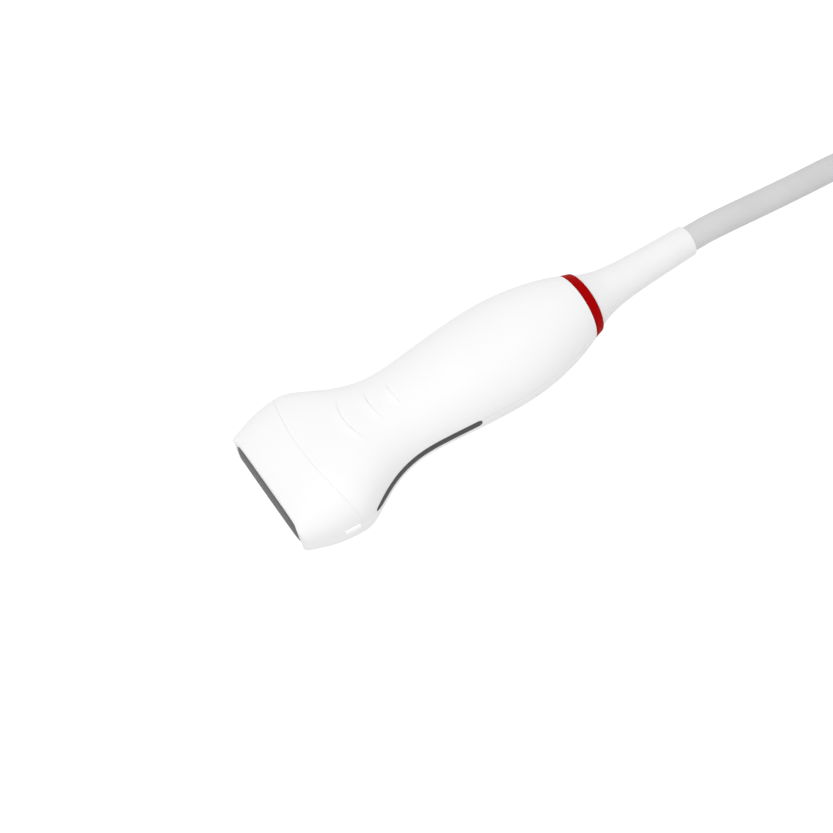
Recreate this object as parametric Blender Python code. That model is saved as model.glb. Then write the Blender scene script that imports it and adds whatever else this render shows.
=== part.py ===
# Linear-array ultrasound probe with its cable and scanner connector.
# Metres, +Z up. The probe lies on its broad face with its axis along X: the
# lens looks towards -X and the cable leaves towards +X. Lengths along the
# probe are measured from the flat front face of the nosepiece.
import math

import bmesh
import bpy
import numpy as np
from mathutils import Vector
from mathutils.geometry import interpolate_bezier

# Fits
GAP = 0.0003
WALL = 0.0020

# Array stack behind the lens
ARRAY_LENGTH = 0.0384
ARRAY_HEIGHT = 0.0076
MATCHING_THICKNESS = 0.0004
PIEZO_THICKNESS = 0.0008
KERF_DEPTH = 0.0006
KERF_WIDTH = 0.00016
ELEMENT_COUNT = 64
BACKING_DEPTH = 0.0090
BACKING_REAR_HEIGHT = 0.0060
FLEX_THICKNESS = 0.0003
CARRIER_LENGTH = 0.0050
CARRIER_AFTER_STACK = 0.0020
CARRIER_SQUARENESS = 30.0

# Lens: its stem is a little longer and wider than the array, and a crowned
# brim covers most of the face
LENS_PAST_ENDS = 0.0003
LENS_PAST_SIDES = 0.0007
LENS_CROWN = 0.0009
LENS_STEP = 0.0002
LENS_SQUARENESS = 5.0
BRIM_PAST_ENDS = 0.0002
BRIM_PAST_SIDES = 0.0024
BRIM_DEPTH = 0.0006
BRIM_SQUARENESS = 4.0
FLANGE_THICKNESS = 0.0010
FLANGE_OVERHANG = 0.0014
FLANGE_SQUARENESS = 3.0

# Housing profile: the face is the lens and the rim around it, and the head
# flares from the face
FACE_RIM_ENDS = 0.0039
FACE_RIM_SIDES = 0.0041
HEAD_FLARE = 0.00355
HEAD_RISE = 0.0050
HEAD_AT = 0.0188
NECK_WIDTH = 0.0328
NECK_THICKNESS = 0.0253
NECK_AT = 0.0490
BULGE_WIDTH = 0.0379
BULGE_THICKNESS = 0.0296
BULGE_TO_TAIL = 0.0319
TAIL_DIAMETER = 0.0236
HEAD_SQUARENESS = 2.8
GRIP_SQUARENESS = 2.05

# Nosepiece
SEAM_AT = 0.0139
SEAM_BOW = 0.0039
NOSE_WALL = 0.0018
FACE_ROUND = 0.0005
SPIGOT_LENGTH = 0.0040
SPIGOT_WALL = 0.0018
SEAL_SECTION = 0.0008
SEAL_WIDTH = 0.0011
SEAL_FROM_SEAM = 0.0014

# Electronics in the handle
BOARD_START = 0.0460
BOARD_LENGTH = 0.0500
BOARD_WIDTH = 0.0210
BOARD_THICKNESS = 0.0016
BOARD_TO_TAIL = 0.0209
SOCKET_LENGTH = 0.0048
SOCKET_HEIGHT = 0.0020
SHIELD_LENGTH = 0.0260
SHIELD_HEIGHT = 0.0052
SHIELD_WALL = 0.0005
COAX_BAR_LENGTH = 0.0030
COAX_BAR_HEIGHT = 0.0012
COAX_COUNT = 16
BULKHEAD_THICKNESS = 0.0015
BULKHEAD_CLEARANCE = 0.0020

# Tail: colour ring, boot and cable end
RING_WIDTH = 0.0029
RING_TAPER = 0.0009
END_WALL = 0.0021
BOOT_NECK_DIAMETER = 0.0168
BOOT_FLANGE_DIAMETER = 0.0194
BOOT_FLANGE_THICKNESS = 0.0028
BOOT_BASE_DIAMETER = 0.0204
BOOT_END_DIAMETER = 0.0108
BOOT_LENGTH = 0.0419
FERRULE_LENGTH = 0.0060
FERRULE_WALL = 0.0012
BUNDLE_DIAMETER = 0.0076

# Marker, grip strips and grip ribs
MARKER_LENGTH = 0.0055
MARKER_WIDTH = 0.0015
MARKER_PROUD = 0.0004
MARKER_DEPTH = 0.0006
MARKER_TO_SEAM = 0.0005
STRIP_START = 0.0245
STRIP_END = 0.0680
STRIP_WIDTH = 0.0028
STRIP_TAPER = 0.0080
STRIP_THICKNESS = 0.0010
STRIP_CROWN = 0.0004
RIB_HEIGHT = 0.00035
RIB_RAMP = 0.0026
RIB_STEP = 0.0005
RIB_ROOT = 0.0008
# each grip rib: where its middle lies, half its length and how far it bows
GRIP_RIBS = (
    (0.0300, 0.0098, 0.0026),
    (0.0396, 0.0066, 0.0010),
    (0.0475, 0.0046, 0.0005),
)

# Cable
CABLE_DIAMETER = 0.0090
TUBE_STEP = 2.0
# ahead of the boot's mouth, sideways, and up from the surface; chosen by hand
LEAD_ROUTE = (
    (0.0008, 0.0, 0.0148),
    (0.0080, 0.0, 0.0145),
    (0.0180, 0.0, 0.0131),
    (0.0300, 0.0, 0.0111),
    (0.0420, 0.0, 0.0092),
    (0.0530, 0.0, 0.0077),
    (0.0620, 0.0, 0.0065),
    (0.0700, -0.0005, 0.0053),
    (0.0762, -0.0020, 0.0046),
)
# ahead of the far end of the hank's straight run; chosen by hand
TAIL_ROUTE = (
    (0.0277, -0.0236, 0.0286),
    (0.0370, -0.0190, 0.0252),
    (0.0440, -0.0137, 0.0212),
    (0.0510, -0.0085, 0.0173),
    (0.0580, -0.0048, 0.0146),
    (0.0660, -0.0021, 0.0126),
    (0.0740, -0.0005, 0.0114),
    (0.0851, 0.0, 0.0110),
)
HANK_AHEAD = 0.1097
HANK_RUN = 0.1460
HANK_BEND = 0.0275
HANK_LAYERS = 4
TIE_WIDTH = 0.0120
TIE_THICKNESS = 0.0011

# Connector
PLUG_BOOT_AHEAD = 0.0860
PLUG_BOOT_LENGTH = 0.0200
PLUG_BOOT_DIAMETER = 0.0150
PLUG_BOOT_MOUTH = 0.0116
PLUG_FLANGE = 0.0020
PLUG_LENGTH = 0.0720
PLUG_WIDTH = 0.0660
PLUG_HEIGHT = 0.0220
PLUG_CORNER = 0.0080
PLUG_EDGE = 0.0015
SHROUD_WIDTH = 0.0480
SHROUD_HEIGHT = 0.0130
SHROUD_LENGTH = 0.0150
SHROUD_PROUD = 0.0080
SHROUD_WALL = 0.0010
SHROUD_CORNER = 0.0014
CONTACT_SLOTS = 20
CONTACT_SLOT_WIDTH = 0.0010
CONTACT_SLOT_DEPTH = 0.0015
CONTACT_FLUSH = 0.0008
PLUG_BOARD_LENGTH = 0.0380
PLUG_BOARD_WIDTH = 0.0440

AROUND = 48
HALF_AROUND = 24
ALONG = 22

# Worked out from the sizes above
LENS_LENGTH = ARRAY_LENGTH + 2 * LENS_PAST_ENDS
LENS_WIDTH = ARRAY_HEIGHT + 2 * LENS_PAST_SIDES
FACE_WIDTH = LENS_LENGTH + 2 * FACE_RIM_ENDS
FACE_THICKNESS = LENS_WIDTH + 2 * FACE_RIM_SIDES
HEAD_WIDTH = FACE_WIDTH + 2 * HEAD_FLARE
HEAD_THICKNESS = FACE_THICKNESS + 2 * HEAD_RISE
BOARD_END = BOARD_START + BOARD_LENGTH
TAIL_AT = BOARD_END + BOARD_TO_TAIL
BULGE_AT = TAIL_AT - BULGE_TO_TAIL
AXIS_HEIGHT = BULGE_THICKNESS / 2
BOOT_END = TAIL_AT + RING_WIDTH + 2 * GAP + BOOT_LENGTH
MIDDLE = (BOOT_END - LENS_CROWN) / 2
CABLE_RADIUS = CABLE_DIAMETER / 2
HANK_EDGE = HANK_BEND + CABLE_RADIUS
HANK_START = BOOT_END + HANK_AHEAD
HANK_END = HANK_START + HANK_RUN
HANK_TOP = HANK_LAYERS * CABLE_DIAMETER
FLOOR = -AXIS_HEIGHT


# Clear the scene

for old in list(bpy.data.objects):
    bpy.data.objects.remove(old, do_unlink=True)

frame = bpy.data.objects.new("row_frame", None)
frame.location = (-MIDDLE, 0.0, AXIS_HEIGHT)
bpy.context.scene.collection.objects.link(frame)


# Materials

def material(name, color, roughness, metallic=0.0):
    made = bpy.data.materials.new(name)
    made.use_nodes = True
    shader = made.node_tree.nodes["Principled BSDF"]
    shader.inputs["Base Color"].default_value = (*color, 1.0)
    shader.inputs["Roughness"].default_value = roughness
    shader.inputs["Metallic"].default_value = metallic
    return made


WHITE_PLASTIC = material("white_plastic", (0.86, 0.86, 0.86), 0.38)
MARKER_PLASTIC = material("marker_plastic", (0.93, 0.93, 0.93), 0.35)
LENS_RUBBER = material("lens_rubber", (0.10, 0.10, 0.11), 0.45)
STRIP_RUBBER = material("strip_rubber", (0.06, 0.06, 0.065), 0.60)
RED_PLASTIC = material("red_plastic", (0.46, 0.003, 0.005), 0.35)
BOOT_RUBBER = material("boot_rubber", (0.80, 0.80, 0.80), 0.50)
CABLE_JACKET = material("cable_jacket", (0.56, 0.56, 0.56), 0.50)
SEAL_RUBBER = material("seal_rubber", (0.03, 0.03, 0.03), 0.60)
CERAMIC = material("piezo_ceramic", (0.55, 0.46, 0.30), 0.60)
EPOXY = material("filled_epoxy", (0.12, 0.12, 0.13), 0.70)
POLYIMIDE = material("polyimide", (0.55, 0.24, 0.05), 0.40)
ALUMINIUM = material("aluminium", (0.75, 0.76, 0.78), 0.35, 1.0)
COPPER = material("copper_shield", (0.80, 0.42, 0.27), 0.40, 1.0)
BOARD_GREEN = material("circuit_board", (0.03, 0.20, 0.09), 0.50)
DARK_PLASTIC = material("dark_plastic", (0.05, 0.05, 0.055), 0.45)
GREY_PLASTIC = material("grey_plastic", (0.62, 0.62, 0.62), 0.45)
STEEL = material("plated_steel", (0.70, 0.70, 0.71), 0.30, 1.0)
COAX_JACKETS = material("coax_jackets", (0.50, 0.32, 0.30), 0.55)


# Helpers that turn points into solids

def add(name, mesh_maker, look, smooth=True):
    """One named object from a bmesh, its faces pointing outwards."""
    mesh_maker.normal_update()
    bmesh.ops.recalc_face_normals(mesh_maker, faces=mesh_maker.faces[:])
    mesh = bpy.data.meshes.new(name)
    mesh_maker.to_mesh(mesh)
    mesh_maker.free()
    if smooth:
        mesh.shade_smooth()
        mesh.set_sharp_from_angle(angle=math.radians(35))
    made = bpy.data.objects.new(name, mesh)
    bpy.context.scene.collection.objects.link(made)
    made.parent = frame
    made.data.materials.append(look)
    return made


def loops_mesh(loops, ring=False):
    """Skin closed loops of points in turn; cap both ends, or join them as a ring."""
    bm = bmesh.new()
    rows = [[bm.verts.new(point) for point in loop] for loop in loops]
    pairs = list(zip(rows, rows[1:]))
    if ring:
        pairs.append((rows[-1], rows[0]))
    for near, far in pairs:
        for i in range(len(near)):
            k = (i + 1) % len(near)
            bm.faces.new((near[i], near[k], far[k], far[i]))
    if not ring:
        bm.faces.new(rows[0])
        bm.faces.new(rows[-1])
    return bm


def turned(profile, ring=False, sides=32):
    """Turn (x, radius) points about the probe's axis."""
    turns = [2 * math.pi * i / sides for i in range(sides)]
    loops = [[(x, r * math.cos(t), r * math.sin(t)) for t in turns] for x, r in profile]
    return loops_mesh(loops, ring)


def block(low, high, edge=0.0):
    """A box between two corners, its edges chamfered."""
    bm = bmesh.new()
    bmesh.ops.create_cube(bm, size=1.0)
    size = [h - l for l, h in zip(low, high)]
    middle = [(h + l) / 2 for l, h in zip(low, high)]
    for vert in bm.verts:
        vert.co = Vector([m + s * c for m, s, c in zip(middle, size, vert.co)])
    if edge:
        bmesh.ops.bevel(bm, geom=bm.edges[:], offset=edge, segments=1, affect="EDGES")
    return bm


def prism(outline, low, high, axis):
    """Extrude a plane outline from low to high along one axis."""
    def place(pair, level):
        spot = list(pair)
        spot.insert(axis, level)
        return tuple(spot)
    return loops_mesh([[place(p, low) for p in outline], [place(p, high) for p in outline]])


def rounded_outline(width, height, corner, steps=5, middle=(0.0, 0.0)):
    """A rectangle with round corners, as a closed list of points."""
    points = []
    for turn, (sx, sy) in enumerate(((1, 1), (-1, 1), (-1, -1), (1, -1))):
        cx = middle[0] + sx * (width / 2 - corner)
        cy = middle[1] + sy * (height / 2 - corner)
        for i in range(steps + 1):
            angle = (turn + i / steps) * math.pi / 2
            points.append((cx + corner * math.cos(angle), cy + corner * math.sin(angle)))
    return points


def comb_outline(length, back, front, slots, slot_width, slot_depth):
    """A bar with evenly spaced slots in its front edge, as (across, along) points."""
    pitch = length / slots
    points = [(-length / 2, back), (-length / 2, front)]
    for i in range(1, slots):
        middle = -length / 2 + i * pitch
        inner = front + slot_depth * (1 if back > front else -1)
        points += [(middle - slot_width / 2, front), (middle - slot_width / 2, inner),
                   (middle + slot_width / 2, inner), (middle + slot_width / 2, front)]
    points += [(length / 2, front), (length / 2, back)]
    return points


def cutter(name, mesh_maker):
    """A hidden tool for a Boolean modifier."""
    made = add(name, mesh_maker, WHITE_PLASTIC, smooth=False)
    made.hide_render = True
    made.display_type = "WIRE"
    return made


def combine(target, tool, operation):
    """Cut or join a hidden tool solid."""
    change = target.modifiers.new(tool.name, "BOOLEAN")
    change.operation = operation
    change.object = tool
    change.solver = "EXACT"


# Housing form: a loft of rounded sections whose width and thickness follow
# two profile curves through the face, head, neck, bulge and tail

def profile_curve(knots, steps=24):
    """Bezier runs through knots of (x, value, slope, lead in share, lead out share)."""
    along, values = [], []
    for (x0, v0, s0, _, out0), (x1, v1, s1, in1, _) in zip(knots, knots[1:]):
        span = x1 - x0
        ends = (
            Vector((x0, v0, 0.0)),
            Vector((x0 + out0 * span, v0 + s0 * out0 * span, 0.0)),
            Vector((x1 - in1 * span, v1 - s1 * in1 * span, 0.0)),
            Vector((x1, v1, 0.0)),
        )
        for point in interpolate_bezier(*ends, steps + 1):
            along.append(point.x)
            values.append(point.y)
    return np.array(along), np.array(values)


TAIL_SLOPE = -0.42
WIDTH_CURVE = profile_curve((
    (0.0, FACE_WIDTH / 2, 0.34, 0.0, 0.27),
    (HEAD_AT, HEAD_WIDTH / 2, 0.0, 0.43, 0.23),
    (NECK_AT, NECK_WIDTH / 2, 0.0, 0.557, 0.23),
    (BULGE_AT, BULGE_WIDTH / 2, 0.0, 0.40, 0.395),
    (TAIL_AT, TAIL_DIAMETER / 2, TAIL_SLOPE, 0.274, 0.0),
))
THICKNESS_CURVE = profile_curve((
    (0.0, FACE_THICKNESS / 2, 0.64, 0.0, 0.20),
    (HEAD_AT, HEAD_THICKNESS / 2, 0.0, 0.40, 0.31),
    (NECK_AT, NECK_THICKNESS / 2, 0.0, 0.375, 0.333),
    (BULGE_AT + 0.28 * (TAIL_AT - BULGE_AT), BULGE_THICKNESS / 2, 0.0, 0.38, 0.393),
    (TAIL_AT, TAIL_DIAMETER / 2, TAIL_SLOPE, 0.262, 0.0),
))


def half_width(x):
    return float(np.interp(x, *WIDTH_CURVE))


def half_thickness(x):
    return float(np.interp(x, *THICKNESS_CURVE))


def squareness(x):
    share = min(max((x - HEAD_AT) / (NECK_AT - HEAD_AT), 0.0), 1.0)
    blend = share * share * (3 - 2 * share)
    return HEAD_SQUARENESS + (GRIP_SQUARENESS - HEAD_SQUARENESS) * blend


def on_oval(half_y, half_z, power, theta):
    """A point of a superellipse; theta 0 is +Y and a quarter turn is +Z."""
    c, s = math.cos(theta), math.sin(theta)
    y = half_y * math.copysign(abs(c) ** (2 / power), c)
    z = half_z * math.copysign(abs(s) ** (2 / power), s)
    return y, z


def on_skin(x, theta, inset=0.0):
    """A point of the housing's surface, or of one a given wall inside it."""
    y, z = on_oval(half_width(x) - inset, half_thickness(x) - inset, squareness(x), theta)
    return x, y, z


def side_at(x, z):
    """How far out the housing's narrow side lies at a height on it."""
    power = squareness(x)
    share = min(abs(z) / half_thickness(x), 0.999)
    return half_width(x) * (1 - share ** power) ** (1 / power)


def crown_at(x, y):
    """How high the housing's broad face lies at a place across it."""
    power = squareness(x)
    share = min(abs(y) / half_width(x), 0.999)
    return half_thickness(x) * (1 - share ** power) ** (1 / power)


def seam_x(y):
    """The parting line between nosepiece and handle bows towards the nose."""
    return SEAM_AT + SEAM_BOW * (y / (HEAD_WIDTH / 2)) ** 2


def on_seam(theta, inset=0.0, behind=0.0):
    """The point of the surface, or of one inside it, that lies on the seam."""
    x = SEAM_AT
    for _ in range(10):
        x = seam_x(on_skin(x, theta, inset)[1]) + behind
    return on_skin(x, theta, inset)


FULL_TURN = [2 * math.pi * i / AROUND for i in range(AROUND)]
HALF_TURN = [math.pi * i / HALF_AROUND for i in range(HALF_AROUND + 1)]


# Lens

def lens_outline(grow):
    return [on_oval(LENS_LENGTH / 2 + grow, LENS_WIDTH / 2 + grow, LENS_SQUARENESS, t)
            for t in FULL_TURN]


def lens_loop(x, grow):
    return [(x, y, z) for y, z in lens_outline(grow)]


def brim_loop(x, grow):
    half_y = LENS_LENGTH / 2 + BRIM_PAST_ENDS + grow
    half_z = LENS_WIDTH / 2 + BRIM_PAST_SIDES + grow
    return [(x, *on_oval(half_y, half_z, BRIM_SQUARENESS, t)) for t in FULL_TURN]


def crown_loop(share):
    """A loop of the crowned face, inset by a share of the brim's half width."""
    inset = share * (LENS_WIDTH / 2 + BRIM_PAST_SIDES)
    x = -(LENS_STEP + (LENS_CROWN - LENS_STEP) * (1 - (1 - share) ** 2))
    return brim_loop(x, -inset)


FLANGE_FRONT = NOSE_WALL + GAP
FLANGE_BACK = FLANGE_FRONT + FLANGE_THICKNESS


def flange_loop(x):
    half_y = LENS_LENGTH / 2 + FLANGE_OVERHANG
    half_z = LENS_WIDTH / 2 + FLANGE_OVERHANG
    return [(x, *on_oval(half_y, half_z, FLANGE_SQUARENESS, t)) for t in FULL_TURN]


lens_loops = [
    flange_loop(FLANGE_BACK),
    flange_loop(FLANGE_FRONT),
    lens_loop(FLANGE_FRONT, 0.0),
    lens_loop(BRIM_DEPTH, 0.0),
    brim_loop(BRIM_DEPTH, 0.0),
    brim_loop(-LENS_STEP, 0.0),
]
lens_loops += [crown_loop(share) for share in (0.15, 0.4, 0.7, 0.97)]
add("acoustic_lens", loops_mesh(lens_loops), LENS_RUBBER)


# Nosepiece: one moulding with a window for the lens and a spigot that slides
# into the handle, with a groove for the seal

SPIGOT_INSET = WALL + GAP
SEAL_GROOVE = SPIGOT_INSET + SEAL_SECTION + GAP


def face_loop(x, inset):
    return [on_skin(x, t, inset)[1:] for t in FULL_TURN]


def flat_loop(x, inset):
    return [(x, y, z) for y, z in face_loop(0.0, inset)]


def skin_loop(share):
    """A loop of the outer surface, part of the way from the face to the seam."""
    loop = []
    for t in FULL_TURN:
        end = on_seam(t, behind=-GAP / 2)[0]
        loop.append(on_skin(FACE_ROUND + share * (end - FACE_ROUND), t))
    return loop


def seam_loop(inset, behind):
    return [on_seam(t, inset, behind) for t in FULL_TURN]


spigot_back = SPIGOT_LENGTH
groove_near = SEAL_FROM_SEAM
groove_far = SEAL_FROM_SEAM + SEAL_WIDTH + 2 * GAP
nose_loops = [
    lens_loop(NOSE_WALL, GAP),
    lens_loop(BRIM_DEPTH + GAP, GAP),
    brim_loop(BRIM_DEPTH + GAP, GAP),
    brim_loop(0.0, GAP),
    flat_loop(0.0, FACE_ROUND),
]
nose_loops.append([(0.3 * FACE_ROUND, y, z) for y, z in face_loop(0.0, 0.3 * FACE_ROUND)])
nose_loops += [skin_loop(share) for share in (0.0, 0.25, 0.5, 0.75, 1.0)]
nose_loops += [
    seam_loop(SPIGOT_INSET, -GAP / 2),
    seam_loop(SPIGOT_INSET, groove_near),
    seam_loop(SEAL_GROOVE, groove_near),
    seam_loop(SEAL_GROOVE, groove_far),
    seam_loop(SPIGOT_INSET, groove_far),
    seam_loop(SPIGOT_INSET, spigot_back),
    seam_loop(SPIGOT_INSET + SPIGOT_WALL, spigot_back),
    seam_loop(SPIGOT_INSET + SPIGOT_WALL, -2 * NOSE_WALL),
    [on_skin(NOSE_WALL + 2 * FACE_ROUND, t, WALL) for t in FULL_TURN],
    [(NOSE_WALL, y, z) for y, z in face_loop(0.0, WALL)],
]
nosepiece = add("nosepiece", loops_mesh(nose_loops, ring=True), WHITE_PLASTIC)

seal_near = groove_near + GAP
seal_far = seal_near + SEAL_WIDTH
seal_loops = [
    seam_loop(WALL + GAP, seal_near),
    seam_loop(WALL + GAP, seal_far),
    seam_loop(WALL + GAP + SEAL_SECTION - GAP, seal_far),
    seam_loop(WALL + GAP + SEAL_SECTION - GAP, seal_near),
]
add("nose_seal", loops_mesh(seal_loops, ring=True), SEAL_RUBBER)


# Orientation marker in a pocket on the nosepiece's narrow side

def marker_mesh(grow, proud):
    back = SEAM_AT + SEAM_BOW - MARKER_TO_SEAM + grow
    front = back - MARKER_LENGTH - 2 * grow
    loops = []
    for i in range(7):
        x = front + (back - front) * i / 6
        end = abs(2 * i / 6 - 1)
        half = (MARKER_WIDTH / 2 + grow) * math.sqrt(1 - 0.75 * end ** 6)
        out = -(half_width(x) + proud)
        deep = -(half_width(x) - MARKER_DEPTH - grow)
        loops.append([(x, out, -0.6 * half), (x, out, 0.6 * half), (x, out + 0.25 * half, half),
                      (x, deep, half), (x, deep, -half), (x, out + 0.25 * half, -half)])
    return loops_mesh(loops)


combine(nosepiece, cutter("marker_pocket", marker_mesh(GAP, 0.002)), "DIFFERENCE")
add("orientation_marker", marker_mesh(0.0, MARKER_PROUD), MARKER_PLASTIC)


# Array stack: two matching layers, the diced piezo bar and its backing block

stack_at = FLANGE_BACK + GAP
add("matching_layer_outer", block(
    (stack_at, -ARRAY_LENGTH / 2, -ARRAY_HEIGHT / 2),
    (stack_at + MATCHING_THICKNESS, ARRAY_LENGTH / 2, ARRAY_HEIGHT / 2)), EPOXY)
stack_at += MATCHING_THICKNESS + GAP
add("matching_layer_inner", block(
    (stack_at, -ARRAY_LENGTH / 2, -ARRAY_HEIGHT / 2),
    (stack_at + MATCHING_THICKNESS, ARRAY_LENGTH / 2, ARRAY_HEIGHT / 2)), EPOXY)
stack_at += MATCHING_THICKNESS + GAP
piezo = comb_outline(ARRAY_LENGTH, stack_at + PIEZO_THICKNESS, stack_at,
                     ELEMENT_COUNT, KERF_WIDTH, KERF_DEPTH)
piezo = [(x, y) for y, x in piezo]
add("piezo_array", prism(piezo, -ARRAY_HEIGHT / 2, ARRAY_HEIGHT / 2, 2), CERAMIC, smooth=False)
stack_at += PIEZO_THICKNESS + GAP
BACKING_FRONT = stack_at
BACKING_BACK = BACKING_FRONT + BACKING_DEPTH


def rectangle(x, half_y, half_z, middle=0.0):
    return [(x, half_y, middle - half_z), (x, half_y, middle + half_z),
            (x, -half_y, middle + half_z), (x, -half_y, middle - half_z)]


backing_loops = [
    rectangle(BACKING_FRONT, ARRAY_LENGTH / 2, ARRAY_HEIGHT / 2),
    rectangle(BACKING_FRONT + BACKING_DEPTH * 0.6, ARRAY_LENGTH / 2, ARRAY_HEIGHT / 2),
    rectangle(BACKING_BACK, ARRAY_LENGTH / 2 - 0.0008, BACKING_REAR_HEIGHT / 2),
]
add("backing_block", loops_mesh(backing_loops), EPOXY, smooth=False)

FLEX_LEVEL = ARRAY_HEIGHT / 2 + GAP + FLEX_THICKNESS / 2
CARRIER_START = BACKING_FRONT + CARRIER_AFTER_STACK
CARRIER_END = CARRIER_START + CARRIER_LENGTH
window_y = ARRAY_LENGTH / 2 + GAP
window_z = FLEX_LEVEL + FLEX_THICKNESS / 2 + GAP
carrier_inset = WALL + GAP + SPIGOT_WALL + GAP


def carrier_window(x):
    return [(x, y, z) for y, z in
            (on_oval(window_y, window_z, CARRIER_SQUARENESS, t) for t in FULL_TURN)]


carrier_loops = [
    carrier_window(CARRIER_START),
    [on_skin(CARRIER_START, t, carrier_inset) for t in FULL_TURN],
    [on_skin(CARRIER_END, t, carrier_inset) for t in FULL_TURN],
    carrier_window(CARRIER_END),
]
add("array_carrier", loops_mesh(carrier_loops, ring=True), ALUMINIUM)


# Electronics: board on bulkheads, sockets, flex circuits, coax bars, shields

BOARD_TOP = BOARD_THICKNESS / 2
add("interconnect_board", block(
    (BOARD_START, -BOARD_WIDTH / 2, -BOARD_TOP),
    (BOARD_END, BOARD_WIDTH / 2, BOARD_TOP)), BOARD_GREEN)

SOCKET_WIDTH = BOARD_WIDTH - 2 * BOARD_THICKNESS
SOCKET_LOW = BOARD_TOP + GAP
FLEX_END = BOARD_START - GAP
SHIELD_START = BOARD_START + SOCKET_LENGTH + BULKHEAD_THICKNESS + 2 * BULKHEAD_CLEARANCE
SHIELD_END = SHIELD_START + SHIELD_LENGTH


def mirrored(mesh_maker, side):
    """The lower piece of a pair is the upper one's mirror image."""
    for vert in mesh_maker.verts:
        vert.co.z *= side
    return mesh_maker


def flex_mesh():
    """A thin circuit folded back along the backing block to its socket."""
    level = SOCKET_LOW + SOCKET_HEIGHT / 2
    stops = (
        (BACKING_FRONT, FLEX_LEVEL, ARRAY_LENGTH / 2 - 0.0010),
        (CARRIER_END + 0.0015, FLEX_LEVEL, ARRAY_LENGTH / 2 - 0.0010),
        (CARRIER_END + 0.30 * (FLEX_END - CARRIER_END), FLEX_LEVEL, 0.0160),
        (CARRIER_END + 0.55 * (FLEX_END - CARRIER_END), 0.6 * FLEX_LEVEL + 0.4 * level, 0.0115),
        (CARRIER_END + 0.80 * (FLEX_END - CARRIER_END), level, SOCKET_WIDTH / 2),
        (FLEX_END, level, SOCKET_WIDTH / 2),
    )
    return loops_mesh([rectangle(x, half, FLEX_THICKNESS / 2, z) for x, z, half in stops])


def shield_mesh():
    """A drawn tray, open towards the board."""
    half = BOARD_WIDTH / 2
    low = SOCKET_LOW
    loops = []
    for x0, x1, y, z in (
        (SHIELD_START, SHIELD_END, half, low),
        (SHIELD_START, SHIELD_END, half, low + SHIELD_HEIGHT - SHIELD_WALL),
        (SHIELD_START + SHIELD_WALL, SHIELD_END - SHIELD_WALL, half - SHIELD_WALL,
         low + SHIELD_HEIGHT),
    ):
        loops.append([(x0, y, z), (x1, y, z), (x1, -y, z), (x0, -y, z)])
    inner = []
    for z in (low + SHIELD_HEIGHT - 2 * SHIELD_WALL, low):
        x0, x1, y = SHIELD_START + SHIELD_WALL, SHIELD_END - SHIELD_WALL, half - SHIELD_WALL
        inner.append([(x0, y, z), (x1, y, z), (x1, -y, z), (x0, -y, z)])
    return loops_mesh([loops[2], loops[1], loops[0], inner[1], inner[0]])


def coax_bar_mesh():
    """The comb in which the cores are laid before soldering."""
    back = BOARD_END - GAP - BULKHEAD_THICKNESS - 2 * BULKHEAD_CLEARANCE
    outline = comb_outline(SOCKET_WIDTH, back - COAX_BAR_LENGTH, back,
                           COAX_COUNT, SOCKET_WIDTH / COAX_COUNT / 2, COAX_BAR_LENGTH / 2)
    outline = [(x, y) for y, x in outline]
    return prism(outline, SOCKET_LOW, SOCKET_LOW + COAX_BAR_HEIGHT, 2)


for word, side in (("upper", 1), ("lower", -1)):
    add("flex_circuit_" + word, mirrored(flex_mesh(), side), POLYIMIDE)
    add("flex_socket_" + word, mirrored(block(
        (BOARD_START, -SOCKET_WIDTH / 2, SOCKET_LOW),
        (BOARD_START + SOCKET_LENGTH, SOCKET_WIDTH / 2, SOCKET_LOW + SOCKET_HEIGHT),
        0.0003), side), DARK_PLASTIC, smooth=False)
    add("shield_" + word, mirrored(shield_mesh(), side), COPPER, smooth=False)
    add("coax_bar_" + word, mirrored(coax_bar_mesh(), side), STEEL, smooth=False)


# Cable end inside the tail: coax bundle and crimp ferrule

BOOT_FLANGE_BACK = TAIL_AT - END_WALL - GAP
BOOT_FLANGE_FRONT = BOOT_FLANGE_BACK - BOOT_FLANGE_THICKNESS
BUNDLE_END = BOOT_FLANGE_FRONT - GAP
FERRULE_END = BUNDLE_END
FERRULE_START = FERRULE_END - FERRULE_LENGTH
bundle_stops = (
    (BOARD_END + GAP, BOARD_WIDTH / 2 - 0.0015, 0.0022),
    (BOARD_END + 0.35 * (FERRULE_START - BOARD_END), 0.0070, 0.0032),
    (FERRULE_START - 0.0005, BUNDLE_DIAMETER / 2, BUNDLE_DIAMETER / 2),
    (BUNDLE_END, BUNDLE_DIAMETER / 2, BUNDLE_DIAMETER / 2),
)
bundle_loops = [[(x, *on_oval(half_y, half_z, 2.0, t)) for t in FULL_TURN[::3]]
                for x, half_y, half_z in bundle_stops]
add("coax_bundle", loops_mesh(bundle_loops), COAX_JACKETS)

ferrule_inner = BUNDLE_DIAMETER / 2 + GAP
ferrule_outer = ferrule_inner + FERRULE_WALL
ferrule_profile = [
    (FERRULE_START, ferrule_inner),
    (FERRULE_START, ferrule_outer + 0.0006),
    (FERRULE_START + 0.0010, ferrule_outer + 0.0006),
    (FERRULE_START + 0.0010, ferrule_outer),
    (FERRULE_END, ferrule_outer),
    (FERRULE_END, ferrule_inner),
]
add("crimp_ferrule", turned(ferrule_profile, ring=True, sides=20), ALUMINIUM)


# Handle: two shells that meet on the parting plane

TAIL_BORE = BOOT_NECK_DIAMETER / 2 + GAP


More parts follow.
